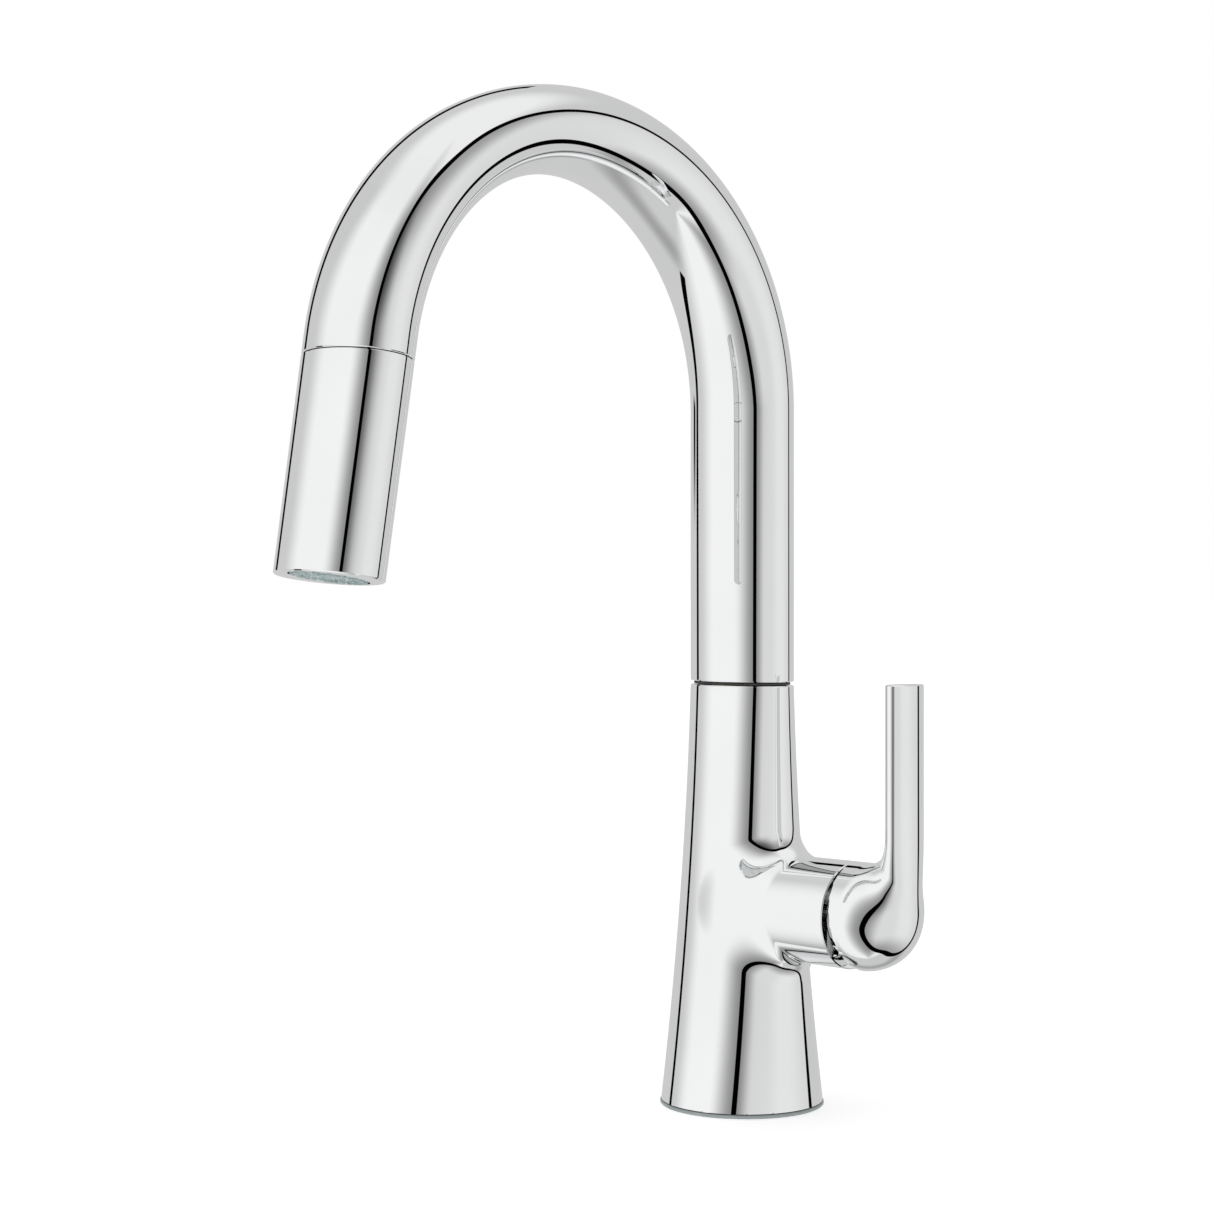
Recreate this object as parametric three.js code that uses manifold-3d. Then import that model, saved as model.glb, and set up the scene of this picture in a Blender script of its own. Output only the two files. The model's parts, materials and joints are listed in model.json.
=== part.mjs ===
// Pull-down kitchen faucet: oval gooseneck on a flared body, side lever, docked spray head.
// Millimetres, +Z up. The origin is the centre of the base on the deck. The spout reaches
// along -Y and the lever stands on the +X side. What is below z = 0 is under the deck.

import * as THREE from 'three';
import { mergeVertices } from 'three/addons/utils/BufferGeometryUtils.js';
import Module from 'manifold-3d';

const wasm = await Module();
wasm.setup();

// ---------- driving dimensions ----------

const GAP = 0.3;                 // clearance between pieces that touch

// Spout: an oval tube, wider across the spout's plane (X) than within it.
const TUBE_HALF_WIDE = 23.5;
const TUBE_HALF_DEEP = 16.15;
const TUBE_WALL = 1.6;
const PLUG_HALF_WIDE = TUBE_HALF_WIDE - TUBE_WALL - 0.5;
const PLUG_HALF_DEEP = TUBE_HALF_DEEP - TUBE_WALL - 0.5;
const ARC_RADIUS = 99.1;
const ARC_SPRING_Z = 275.8;
const OUTLET_TILT = THREE.MathUtils.degToRad(9.45);
const OUTLET_STRAIGHT = 7.6;

// Body: round at the deck, oval where it meets the spout.
const GASKET_HEIGHT = 1.4;
const GASKET_EDGE = 0.2;         // how far the gasket shows past the body
const BASE_RADIUS = 32.4;
const BODY_BOTTOM_Z = GASKET_HEIGHT + GAP;
const BODY_TOP_Z = 166.8;
const BODY_WALL = 2.6;
const BODY_FLOOR_Z = 14;
const COLLAR_Z = 140;
const COLLAR_BORE = 13.3;
const SWIVEL_RING_HEIGHT = 0.9;
const SWIVEL_RING_INSET = 1.4;

// Side boss and the mixing cartridge in it, on an axis along +X.
const HUB_Z = 80;
const BOSS_RADIUS = 20.6;
const BOSS_END_X = 58;
const BOSS_INNER_X = 0.8;
const SEAT_X = 11;
const SEAT_BORE = 14.7;
const CARTRIDGE_BORE = 17.3;
const BLOCK_FACE_X = 13.6;
const BLOCK_FLAT = -11;          // underside of the waterway block, from the hub axis

// Handle: a domed hub that bends up into a flat oval lever. Its rim leans away from the boss.
const PIVOT_X = 46;
const DOME_RADIUS = 20;
const HUB_CAVITY_RADIUS = 21;
const RIM_TOP_X = 58.5;
const RIM_BOTTOM_X = 64.8;
const LEVER_X = 81.6;
const LEVER_HALF_THICK = 5.2;
const LEVER_HALF_WIDE = 9.75;
const LEVER_TOP_Z = 169.1;
const HUB_DOME_X = 63.4;
const INNER_BEND_X = 60;
const INNER_BEND_Z = 114;
const OUTER_BEND_X = 66;
const OUTER_BEND_Z = 90;
const STEM_RADIUS = 3.4;
const STEM_BALL_X = 34;
const SET_SCREW_X = 71.5;

// Spray head, measured down the outlet axis from the seam with the spout.
const HEAD_LENGTH = 76.4;
const HEAD_WALL = 1.9;
const HEAD_END_SCALE = 0.985;
const SPRAY_OPENING = 14.1;
const ROCKER_DEPTH = 40.3;
const ROCKER_LENGTH = 12.8;
const ROCKER_PIVOT_Y = 13;
const BEZEL_LENGTH = 15.8;

// Hose and supply tubes.
const HOSE_RADIUS = 6;
const HOSE_OFFSET_X = -6.5;
const TUBE_END_Z = -58;

// Under-deck clamp, drawn on a deck of this thickness.
const DECK_THICKNESS = 30;
const SHANK_RADIUS = 16.4;
const SHANK_BORE = 13.4;
const SHANK_TOP_Z = 12;
const SHANK_BOTTOM_Z = -62;
const SHANK_CLEARANCE = 0.6;
const WASHER_RADIUS = 28;
const RUBBER_WASHER_THICKNESS = 3;
const STEEL_WASHER_THICKNESS = 1.5;
const NUT_RADIUS = 27;
const NUT_HEIGHT = 10;
const JACK_SCREW_X = 21.5;
const JACK_SCREW_RADIUS = 2.5;
const JACK_HEAD_RADIUS = 4;
const JACK_HEAD_HEIGHT = 4;
const JACK_SCREW_LENGTH = 19;

const ROUND = 20;                // sides of the turned pieces
const FINE = 28;                 // sides of the large outer shells

// ---------- materials ----------

function finish(color, roughness, metalness) {
  return new THREE.MeshStandardMaterial({ color, roughness, metalness });
}

const chrome = () => finish(0xdfe2e4, 0.05, 1);
const brass = () => finish(0xc8a45c, 0.3, 1);
const steel = () => finish(0xb4b7ba, 0.35, 1);
const rubber = () => finish(0x1c1c1e, 0.8, 0);
const darkPlastic = () => finish(0x3a3d40, 0.5, 0);
const palePlastic = () => finish(0xc9ccce, 0.45, 0);
const ceramic = () => finish(0xf1efe8, 0.25, 0);
const hoseSheath = () => finish(0x8d9296, 0.6, 0);
const copper = () => finish(0xb87348, 0.3, 1);
const greyRubber = () => finish(0xaab2b2, 0.6, 0);

// ---------- geometry helpers ----------

// Keeps only shared positions, drops collapsed triangles and turns the faces outward.
function closed(geometry) {
  const bare = geometry.index ? geometry.clone() : geometry;
  for (const name of Object.keys(bare.attributes)) {
    if (name !== 'position') bare.deleteAttribute(name);
  }
  const merged = mergeVertices(bare, 1e-4);
  const corner = merged.index.array;
  const kept = [];
  for (let i = 0; i < corner.length; i += 3) {
    const [a, b, c] = [corner[i], corner[i + 1], corner[i + 2]];
    if (a !== b && b !== c && c !== a) kept.push(a, b, c);
  }
  merged.setIndex(kept);
  merged.clearGroups();
  if (volume(merged) < 0) {
    const flipped = [];
    for (let i = 0; i < kept.length; i += 3) flipped.push(kept[i], kept[i + 2], kept[i + 1]);
    merged.setIndex(flipped);
  }
  return merged;
}

function volume(geometry) {
  const position = geometry.attributes.position;
  const index = geometry.index.array;
  const [a, b, c] = [new THREE.Vector3(), new THREE.Vector3(), new THREE.Vector3()];
  let total = 0;
  for (let i = 0; i < index.length; i += 3) {
    a.fromBufferAttribute(position, index[i]);
    b.fromBufferAttribute(position, index[i + 1]);
    c.fromBufferAttribute(position, index[i + 2]);
    total += a.dot(b.cross(c)) / 6;
  }
  return total;
}

function toSolid(geometry) {
  const shape = closed(geometry);
  const vertProperties = new Float32Array(shape.attributes.position.array);
  const triVerts = new Uint32Array(shape.index.array);
  return new wasm.Manifold(new wasm.Mesh({ numProp: 3, vertProperties, triVerts }));
}

function toGeometry(solid) {
  const mesh = solid.getMesh();
  const geometry = new THREE.BufferGeometry();
  geometry.setAttribute('position', new THREE.BufferAttribute(new Float32Array(mesh.vertProperties), 3));
  geometry.setIndex(Array.from(mesh.triVerts));
  return geometry;
}

function cut(geometry, ...tools) {
  return toGeometry(tools.reduce((left, tool) => left.subtract(toSolid(tool)), toSolid(geometry)));
}

function join(geometry, ...others) {
  return toGeometry(others.reduce((left, other) => left.add(toSolid(other)), toSolid(geometry)));
}

// A profile of [radius, height] points turned about Z. It starts and ends on the axis or closes.
function turned(profile, sides = ROUND) {
  const points = profile.map(([radius, height]) => new THREE.Vector2(radius, height));
  const geometry = new THREE.LatheGeometry(points, sides);
  geometry.rotateX(Math.PI / 2);
  return closed(geometry);
}

function turnedAlongX(profile, sides = ROUND) {
  return turned(profile, sides).rotateY(Math.PI / 2);
}

function turnedAlongY(profile, sides = ROUND) {
  return turned(profile, sides).rotateX(-Math.PI / 2);
}

const ring = (inner, outer, low, high) => [
  [inner, low], [outer, low], [outer, high], [inner, high], [inner, low],
];

const rod = (radius, low, high) => [[0, low], [radius, low], [radius, high], [0, high]];

function sealRing(inner, outer, low, high, sides = ROUND) {
  const profile = [];
  const corners = 6;
  for (let i = 0; i <= corners; i += 1) {
    const angle = (2 * Math.PI * (i % corners)) / corners;
    profile.push([
      (inner + outer) / 2 + (Math.cos(angle) * (outer - inner)) / 2,
      (low + high) / 2 + (Math.sin(angle) * (high - low)) / 2,
    ]);
  }
  return turned(profile, sides);
}

function block(lowX, highX, lowY, highY, lowZ, highZ) {
  const geometry = new THREE.BoxGeometry(highX - lowX, highY - lowY, highZ - lowZ);
  geometry.translate((lowX + highX) / 2, (lowY + highY) / 2, (lowZ + highZ) / 2);
  return geometry;
}

// A solid whose cross-section follows section(t), t from 0 to 1: an ellipse with the given
// centre and the two half-axis vectors.
function shaped(section, levels, sides = FINE) {
  const geometry = new THREE.CylinderGeometry(1, 1, 1, sides, levels);
  const position = geometry.attributes.position;
  for (let i = 0; i < position.count; i += 1) {
    const { centre, across, deep } = section(position.getY(i) + 0.5);
    const point = centre.clone()
      .addScaledVector(across, position.getX(i))
      .addScaledVector(deep, position.getZ(i));
    position.setXYZ(i, point.x, point.y, point.z);
  }
  return closed(geometry);
}

function ovalPlug(halfWide, halfDeep, low, high, sides = FINE) {
  return shaped((t) => ({
    centre: new THREE.Vector3(0, 0, low + (high - low) * t),
    across: new THREE.Vector3(halfWide, 0, 0),
    deep: new THREE.Vector3(0, halfDeep, 0),
  }), 1, sides);
}

function ovalOutline(halfFirst, halfSecond, sides) {
  const points = [];
  for (let i = 0; i < sides; i += 1) {
    const angle = (2 * Math.PI * i) / sides;
    points.push(new THREE.Vector2(halfFirst * Math.cos(angle), halfSecond * Math.sin(angle)));
  }
  return points;
}

// ---------- assembly ----------

const faucet = new THREE.Group();
const outlet = new THREE.Group();    // local z runs back up the outlet axis from the seam
const mixer = new THREE.Group();     // local origin on the deck axis at the height of the hub

function addPiece(name, geometry, material, parent = faucet) {
  const mesh = new THREE.Mesh(geometry, material);
  mesh.name = name;
  parent.add(mesh);
}

// ---------- body ----------

// Half-axes of the body's outside at height z. The mean size grows towards the deck and the
// oval turns round on the way down.
function bodyHalfAxes(z) {
  const down = (BODY_TOP_Z - z) / BODY_TOP_Z;
  const topMean = Math.hypot(TUBE_HALF_WIDE, TUBE_HALF_DEEP) / Math.SQRT2;
  const slope = 4.73;
  const mean = topMean + slope * down + (BASE_RADIUS - topMean - slope) * down * down;
  const ratio = 1 + (TUBE_HALF_WIDE / TUBE_HALF_DEEP - 1) * (1 - down);
  const deep = mean * Math.sqrt(2 / (1 + ratio * ratio));
  return { wide: deep * ratio, deep };
}

function bodyShape(low, high, inset, levels) {
  return shaped((t) => {
    const z = low + (high - low) * t;
    const { wide, deep } = bodyHalfAxes(z);
    return {
      centre: new THREE.Vector3(0, 0, z),
      across: new THREE.Vector3(wide - inset, 0, 0),
      deep: new THREE.Vector3(0, deep - inset, 0),
    };
  }, levels);
}

const TUBE_PLACES = {
  hot_tube: [3.6, 6],
  cold_tube: [3.6, -6],
  outlet_tube: [7.6, 0],
};

function makeBody() {
  const alongHub = (profile, sides) => turnedAlongX(profile, sides).translate(0, 0, HUB_Z);
  const boss = alongHub(rod(BOSS_RADIUS, BOSS_INNER_X, BOSS_END_X), FINE);
  const hollow = cut(bodyShape(BODY_FLOOR_Z, COLLAR_Z, BODY_WALL, 4), boss);
  const tubeSlot = block(BOSS_INNER_X - 1, 13.2, -9.5, 9.5, HUB_Z - BOSS_RADIUS - 1, HUB_Z + BLOCK_FLAT);
  const shell = cut(
    join(bodyShape(BODY_BOTTOM_Z, BODY_TOP_Z, 0, 8), boss),
    hollow,
    turned(rod(SHANK_RADIUS + GAP, 0, BODY_FLOOR_Z + 1)),
    turned(rod(COLLAR_BORE, COLLAR_Z - 1, BODY_TOP_Z + 1)),
    alongHub(rod(SEAT_BORE, BOSS_INNER_X - 1, SEAT_X + 1)),
    alongHub(rod(CARTRIDGE_BORE, SEAT_X, BOSS_END_X + 1)),
    tubeSlot,
  );
  addPiece('body_shell', shell, chrome());
  const gasket = ring(SHANK_RADIUS + SHANK_CLEARANCE, BASE_RADIUS + GASKET_EDGE, 0, GASKET_HEIGHT);
  addPiece('base_gasket', turned(gasket, FINE), greyRubber());
}

// ---------- under the deck ----------

function makeDeckClamp() {
  addPiece('mounting_shank', turned(ring(SHANK_BORE, SHANK_RADIUS, SHANK_BOTTOM_Z, SHANK_TOP_Z)), brass());
  const washerTop = -DECK_THICKNESS - GAP;
  const washerBottom = washerTop - RUBBER_WASHER_THICKNESS;
  const washerInner = SHANK_RADIUS + SHANK_CLEARANCE;
  addPiece('rubber_washer', turned(ring(washerInner, WASHER_RADIUS, washerBottom, washerTop)), rubber());
  const plateTop = washerBottom - GAP;
  const plateBottom = plateTop - STEEL_WASHER_THICKNESS;
  addPiece('steel_washer', turned(ring(washerInner, WASHER_RADIUS, plateBottom, plateTop)), steel());
  const nutTop = plateBottom - GAP;
  const nutBottom = nutTop - NUT_HEIGHT;
  const screws = [-JACK_SCREW_X, JACK_SCREW_X];
  const screwHole = rod(JACK_SCREW_RADIUS + GAP, nutBottom - 1, nutTop + 1);
  const holes = screws.map((x) => turned(screwHole, 12).translate(x, 0, 0));
  const thread = turned(rod(SHANK_RADIUS + GAP, nutBottom - 1, nutTop + 1));
  addPiece('mounting_nut', cut(turned(rod(NUT_RADIUS, nutBottom, nutTop), 6), thread, ...holes), brass());
  const screwBottom = nutTop - JACK_SCREW_LENGTH;
  const headTop = screwBottom + JACK_HEAD_HEIGHT;
  const shaft = [
    [0, screwBottom], [JACK_HEAD_RADIUS, screwBottom], [JACK_HEAD_RADIUS, headTop],
    [JACK_SCREW_RADIUS, headTop], [JACK_SCREW_RADIUS, nutTop], [0, nutTop],
  ];
  screws.forEach((x, i) => {
    addPiece(`jack_screw_${i + 1}`, turned(shaft, 12).translate(x, 0, 0), steel());
  });
}

// ---------- waterway and supply tubes ----------

const PORTS = [[5.5, 4], [-5.5, 4], [0, -6]];   // [y, z] of the ports from the hub axis

function makeWaterway() {
  const seatFlange = [
    [0, BOSS_INNER_X], [SEAT_BORE - GAP, BOSS_INNER_X], [SEAT_BORE - GAP, SEAT_X + GAP],
    [CARTRIDGE_BORE - GAP, SEAT_X + GAP], [CARTRIDGE_BORE - GAP, BLOCK_FACE_X], [0, BLOCK_FACE_X],
  ];
  const blank = turnedAlongX(seatFlange);
  const portBores = PORTS.map(([y, z], i) => (
    turnedAlongX(rod(2.6, i < 2 ? 3 : 7, BLOCK_FACE_X + 1), 12).translate(0, y, z)
  ));
  const risers = Object.values(TUBE_PLACES).map(([x, y], i) => (
    turned(rod(2.2, -CARTRIDGE_BORE, PORTS[i][1]), 12).translate(x, y, 0)
  ));
  const flat = block(0, SEAT_X + GAP / 2, -20, 20, -20, BLOCK_FLAT);
  addPiece('waterway_block', cut(blank, flat, ...portBores, ...risers), brass(), mixer);
  PORTS.forEach(([y, z], i) => {
    const seal = sealRing(2.7, 4.3, BLOCK_FACE_X + GAP, BLOCK_FACE_X + 1.7, 12).rotateY(Math.PI / 2);
    addPiece(`port_seal_${i + 1}`, seal.translate(0, y, z), rubber(), mixer);
  });
  for (const [name, [x, y]] of Object.entries(TUBE_PLACES)) {
    const tube = turned(ring(2.2, 3.2, TUBE_END_Z, HUB_Z + BLOCK_FLAT - GAP), 16).translate(x, y, 0);
    addPiece(name, tube, copper());
  }
}

// ---------- mixing cartridge ----------

function makeCartridge() {
  const holes = PORTS.map(([y, z]) => turnedAlongX(rod(2.6, 10, 30), 12).translate(0, y, z));
  const housing = [
    [0, 15.6], [16.6, 15.6], [16.6, 43.5], [14, 43.5], [14, 17.6], [0, 17.6],
  ];
  addPiece('cartridge_housing', cut(turnedAlongX(housing), ...holes), palePlastic(), mixer);
  addPiece('fixed_disc', cut(turnedAlongX(rod(13.7, 17.9, 21.4)), ...holes), ceramic(), mixer);

  const channel = shaped((t) => ({
    centre: new THREE.Vector3(21 + 3 * t, 0, -1.5),
    across: new THREE.Vector3(0, 4, 0),
    deep: new THREE.Vector3(0, 0, 6.5),
  }), 1, 16);
  addPiece('moving_disc', cut(turnedAlongX(rod(10.5, 21.7, 26.2)), channel), ceramic(), mixer);

  const pocket = turnedAlongX(rod(5, 29, 38), 16);
  addPiece('disc_driver', cut(turnedAlongX(rod(10.4, 26.5, 37)), pocket), darkPlastic(), mixer);

  const slot = block(38, 51, -3.8, 3.8, -8, 8);
  const pinHole = turnedAlongY(rod(1.5, -15, 15), 12).translate(PIVOT_X, 0, 0);
  addPiece('stem_guide', cut(turnedAlongX(rod(13.6, 40, 49.5)), slot, pinHole), darkPlastic(), mixer);
  addPiece('pivot_pin', turnedAlongY(rod(1.2, -11, 11), 12).translate(PIVOT_X, 0, 0), steel(), mixer);

  const ballRadius = 4.2;
  const stemProfile = [[0, STEM_BALL_X - ballRadius]];
  const neck = Math.asin(STEM_RADIUS / ballRadius);
  const ballSteps = 6;
  for (let i = 1; i <= ballSteps; i += 1) {
    const angle = ((Math.PI - neck) * i) / ballSteps;
    stemProfile.push([ballRadius * Math.sin(angle), STEM_BALL_X - ballRadius * Math.cos(angle)]);
  }
  stemProfile.push([STEM_RADIUS, 76], [0, 76]);
  addPiece('cartridge_stem', cut(turnedAlongX(stemProfile, 16), pinHole), steel(), mixer);

  addPiece('retaining_nut', turnedAlongX(ring(14.3, CARTRIDGE_BORE - GAP, 43.8, 49.7)), brass(), mixer);
  addPiece('bonnet_cap', turnedAlongX(domeProfile()), chrome(), mixer);
}

// The domed trim over the cartridge: its dome is centred on the lever's pivot.
function domeProfile() {
  const skirtOuter = CARTRIDGE_BORE - GAP;
  const skirtEnd = BOSS_END_X - 0.4;
  const holeRadius = 10;
  const innerRadius = DOME_RADIUS - 1.4;
  const profile = [[skirtOuter, 50], [skirtOuter, skirtEnd]];
  const arcSteps = 3;
  const outerStart = Math.acos((skirtEnd - PIVOT_X) / DOME_RADIUS);
  const outerEnd = Math.asin(holeRadius / DOME_RADIUS);
  for (let i = 0; i <= arcSteps; i += 1) {
    const angle = outerStart + ((outerEnd - outerStart) * i) / arcSteps;
    profile.push([DOME_RADIUS * Math.sin(angle), PIVOT_X + DOME_RADIUS * Math.cos(angle)]);
  }
  const skirtInner = skirtOuter - 1.4;
  const innerStart = Math.asin(holeRadius / innerRadius);
  const innerEnd = Math.asin(skirtInner / innerRadius);
  for (let i = 0; i <= arcSteps; i += 1) {
    const angle = innerStart + ((innerEnd - innerStart) * i) / arcSteps;
    profile.push([innerRadius * Math.sin(angle), PIVOT_X + innerRadius * Math.cos(angle)]);
  }
  profile.push([skirtInner, 50], [skirtOuter, 50]);
  return profile;
}

// ---------- handle ----------

// Cross-section of the handle: t runs from the rim, round the bend and up the lever. The
// inner and outer outlines lie in the XZ plane, and the section spans from one to the other.
function handleSection(t) {
  const bendShare = 0.7;
  const bend = Math.min(t / bendShare, 1) * (Math.PI / 2);
  const rise = Math.max((t - bendShare) / (1 - bendShare), 0);
  const rimShift = 1 - Math.sin(bend);
  const inner = new THREE.Vector3(
    INNER_BEND_X + (LEVER_X - LEVER_HALF_THICK - INNER_BEND_X) * Math.sin(bend)
      - (INNER_BEND_X - RIM_TOP_X) * rimShift,
    0,
    INNER_BEND_Z - (INNER_BEND_Z - HUB_Z - BOSS_RADIUS) * Math.cos(bend),
  );
  const outer = new THREE.Vector3(
    OUTER_BEND_X + (LEVER_X + LEVER_HALF_THICK - OUTER_BEND_X) * Math.sin(bend)
      - (OUTER_BEND_X - RIM_BOTTOM_X) * rimShift,
    0,
    OUTER_BEND_Z - (OUTER_BEND_Z - HUB_Z + BOSS_RADIUS) * Math.cos(bend)
      + (INNER_BEND_Z - OUTER_BEND_Z) * Math.sin(bend) ** 2,
  );
  const halfWide = LEVER_HALF_WIDE + (BOSS_RADIUS - LEVER_HALF_WIDE) * Math.cos(bend) ** 1.2;
  const centre = inner.clone().add(outer).multiplyScalar(0.5);
  centre.z += (LEVER_TOP_Z - INNER_BEND_Z) * rise;
  return {
    centre,
    across: outer.clone().sub(inner).multiplyScalar(0.5),
    deep: new THREE.Vector3(0, halfWide, 0),
  };
}

function makeHandle() {
  const levels = 16;
  const bend = shaped(handleSection, levels, 24).translate(0, 0, -HUB_Z);
  const drum = turnedAlongX(rod(BOSS_RADIUS, RIM_TOP_X - 2, HUB_DOME_X), FINE);
  const dome = new THREE.SphereGeometry(BOSS_RADIUS, FINE, 14)
    .rotateZ(-Math.PI / 2)
    .translate(HUB_DOME_X, 0, 0);
  const rimLean = Math.atan((RIM_BOTTOM_X - RIM_TOP_X) / (2 * BOSS_RADIUS));
  const wedge = block(-40, 0, -30, 30, -40, 40)
    .rotateY(-rimLean)
    .translate((RIM_TOP_X + RIM_BOTTOM_X) / 2 + 0.1, 0, 0);
  const outside = cut(join(bend, drum, dome), wedge);
  const cavity = new THREE.SphereGeometry(HUB_CAVITY_RADIUS, 22, 14).translate(PIVOT_X, 0, 0);
  const stemBore = turnedAlongX(rod(STEM_RADIUS + GAP, 60, 76.4), 16);
  const screwBore = turned(rod(2.4, -30, -STEM_RADIUS), 12).translate(SET_SCREW_X, 0, 0);
  addPiece('handle', cut(outside, cavity, stemBore, screwBore), chrome(), mixer);
  const screwTop = -STEM_RADIUS - GAP;
  const screwBottom = -18;
  const screw = cut(
    turned(rod(2.1, screwBottom, screwTop), 12),
    turned(rod(1.2, screwBottom - 1, screwBottom + 3), 6),
  );
  addPiece('handle_set_screw', screw.translate(SET_SCREW_X, 0, 0), steel(), mixer);
}

// ---------- spout ----------

const SPOUT_BOTTOM_Z = BODY_TOP_Z + GAP + SWIVEL_RING_HEIGHT + GAP;
const ARC_ANGLE = Math.PI - OUTLET_TILT;

// The spout's centreline by distance from its lower end: a riser, an arc and a short straight.
function spoutPoint(distance) {
  const riser = ARC_SPRING_Z - SPOUT_BOTTOM_Z;
  if (distance < riser) return new THREE.Vector3(0, 0, SPOUT_BOTTOM_Z + distance);
  const angle = Math.min((distance - riser) / ARC_RADIUS, ARC_ANGLE);
  const past = distance - riser - ARC_ANGLE * ARC_RADIUS;
  const point = new THREE.Vector3(
    0,
    -ARC_RADIUS * (1 - Math.cos(angle)),
    ARC_SPRING_Z + ARC_RADIUS * Math.sin(angle),
  );
  const downOutlet = new THREE.Vector3(0, -Math.sin(OUTLET_TILT), -Math.cos(OUTLET_TILT));
  return point.addScaledVector(downOutlet, Math.max(past, 0));
}

const SPOUT_LENGTH = ARC_SPRING_Z - SPOUT_BOTTOM_Z + ARC_ANGLE * ARC_RADIUS + OUTLET_STRAIGHT;

class RoutedCurve extends THREE.Curve {
  constructor(pointAt) {
    super();
    this.pointAt = pointAt;
  }

  getPoint(t) {
    return this.pointAt(t);
  }
}

// The outline's first axis lies in the plane of the bend and its second across it.
function swept(outline, hole, pointAt, steps) {
  const shape = new THREE.Shape(outline);
  if (hole) shape.holes.push(new THREE.Path(hole));
  const extrudePath = new RoutedCurve(pointAt);
  return closed(new THREE.ExtrudeGeometry(shape, { steps, extrudePath, bevelEnabled: false }));
}

function makeSpout() {
  const tube = swept(
    ovalOutline(TUBE_HALF_DEEP, TUBE_HALF_WIDE, 24),
    ovalOutline(TUBE_HALF_DEEP - TUBE_WALL, TUBE_HALF_WIDE - TUBE_WALL, 20),
    (t) => spoutPoint(t * SPOUT_LENGTH),
    32,
  );
  addPiece('spout_tube', tube, chrome());

  const stemBore = 9;
  const stemRadius = 12;
  const stemBottom = 133;
  const plugTop = SPOUT_BOTTOM_Z + 13;
  const stem = cut(
    join(
      ovalPlug(PLUG_HALF_WIDE, PLUG_HALF_DEEP, SPOUT_BOTTOM_Z, plugTop, 20),
      turned(rod(stemRadius, stemBottom, SPOUT_BOTTOM_Z + 2)),
    ),
    turned(rod(stemBore, stemBottom - 1, plugTop + 1), 20),
    turned(ring(stemRadius - 0.8, stemRadius + 3, 136, 138.2)),
  );
  addPiece('spout_stem', stem, brass());
  addPiece('stem_clip', turned(ring(stemRadius - 0.5, 13.4, 136.3, 137.9)), steel());

  const ringLow = BODY_TOP_Z + GAP;
  const ringBlank = ovalPlug(
    TUBE_HALF_WIDE - SWIVEL_RING_INSET,
    TUBE_HALF_DEEP - SWIVEL_RING_INSET,
    ringLow,
    ringLow + SWIVEL_RING_HEIGHT,
  );
  const ringHole = turned(rod(stemRadius + GAP, ringLow - 1, ringLow + 3));
  addPiece('swivel_ring', cut(ringBlank, ringHole), rubber());

  const inner = stemRadius + 0.25;
  const outer = COLLAR_BORE - 0.25;
  addPiece('upper_bushing', turned(ring(inner, outer, 157, 165.5)), palePlastic());
  addPiece('stem_oring_1', sealRing(inner, outer, 153.8, 156.6), rubber());
  addPiece('stem_oring_2', sealRing(inner, outer, 150.4, 153.2), rubber());
  addPiece('lower_bushing', turned(ring(inner, outer, 141, 149.8)), palePlastic());
}

// ---------- hose ----------

const HOSE_SPLIT_Z = 139.5;          // the turning spout carries the hose above this height
const HOSE_BOTTOM_Z = -60;

function lowerHosePoint(t) {
  const z = HOSE_BOTTOM_Z + (HOSE_SPLIT_Z - HOSE_BOTTOM_Z) * t;
  const bendLow = 92;
  const bendHigh = 134;
  const along = THREE.MathUtils.clamp((z - bendLow) / (bendHigh - bendLow), 0, 1);
  return new THREE.Vector3(HOSE_OFFSET_X * 0.5 * (1 + Math.cos(Math.PI * along)), 0, z);
}

function upperHosePoint(t) {
  const below = SPOUT_BOTTOM_Z - HOSE_SPLIT_Z - GAP;
  const distance = -below + (SPOUT_LENGTH + below - GAP) * t;
  if (distance < 0) return new THREE.Vector3(0, 0, SPOUT_BOTTOM_Z + distance);
  return spoutPoint(distance);
}

function makeHose() {
  const outline = ovalOutline(HOSE_RADIUS, HOSE_RADIUS, 10);
  addPiece('hose_lower', swept(outline, null, lowerHosePoint, 18), hoseSheath());
  addPiece('hose_upper', swept(outline, null, upperHosePoint, 38), hoseSheath());
}

// ---------- dock at the spout's mouth ----------

function makeDock() {
  const bore = HOSE_RADIUS + 1.4;
  const guide = cut(
    ovalPlug(PLUG_HALF_WIDE, PLUG_HALF_DEEP, 0.4, 7.2, 20),
    turned(rod(bore, -1, 9), 20),
  );
  addPiece('dock_guide', guide, darkPlastic(), outlet);
  addPiece('dock_magnet', turned(ring(bore + 1, 12.4, 7.5, 10.5)), steel(), outlet);
}

// ---------- spray head ----------

function makeHeadShell() {
  const taper = (z) => 1 + ((HEAD_END_SCALE - 1) * -z) / HEAD_LENGTH;
  const tapered = (low, high, inset) => shaped((t) => {
    const z = low + (high - low) * t;
    return {
      centre: new THREE.Vector3(0, 0, z),
      across: new THREE.Vector3(TUBE_HALF_WIDE * taper(z) - inset, 0, 0),
      deep: new THREE.Vector3(0, TUBE_HALF_DEEP * taper(z) - inset, 0),
    };
  }, 1);
  const bezelSlot = block(
    -9.2, 9.2, 8, 20,
    -ROCKER_DEPTH - BEZEL_LENGTH / 2 - GAP, -ROCKER_DEPTH + BEZEL_LENGTH / 2 + GAP,
  );
  const shell = cut(
    tapered(-HEAD_LENGTH, -GAP, 0),
    tapered(-HEAD_LENGTH + 3.9, -2.5, HEAD_WALL),
    turned(rod(12.3, -5, 1)),
    turned(rod(SPRAY_OPENING, -HEAD_LENGTH - 1, -HEAD_LENGTH + 6), FINE),
    bezelSlot,
  );
  addPiece('head_shell', shell, chrome(), outlet);
  addPiece('head_collar', turned(ring(8.4, 12, -3.4, -0.5)), steel(), outlet);
}

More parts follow.
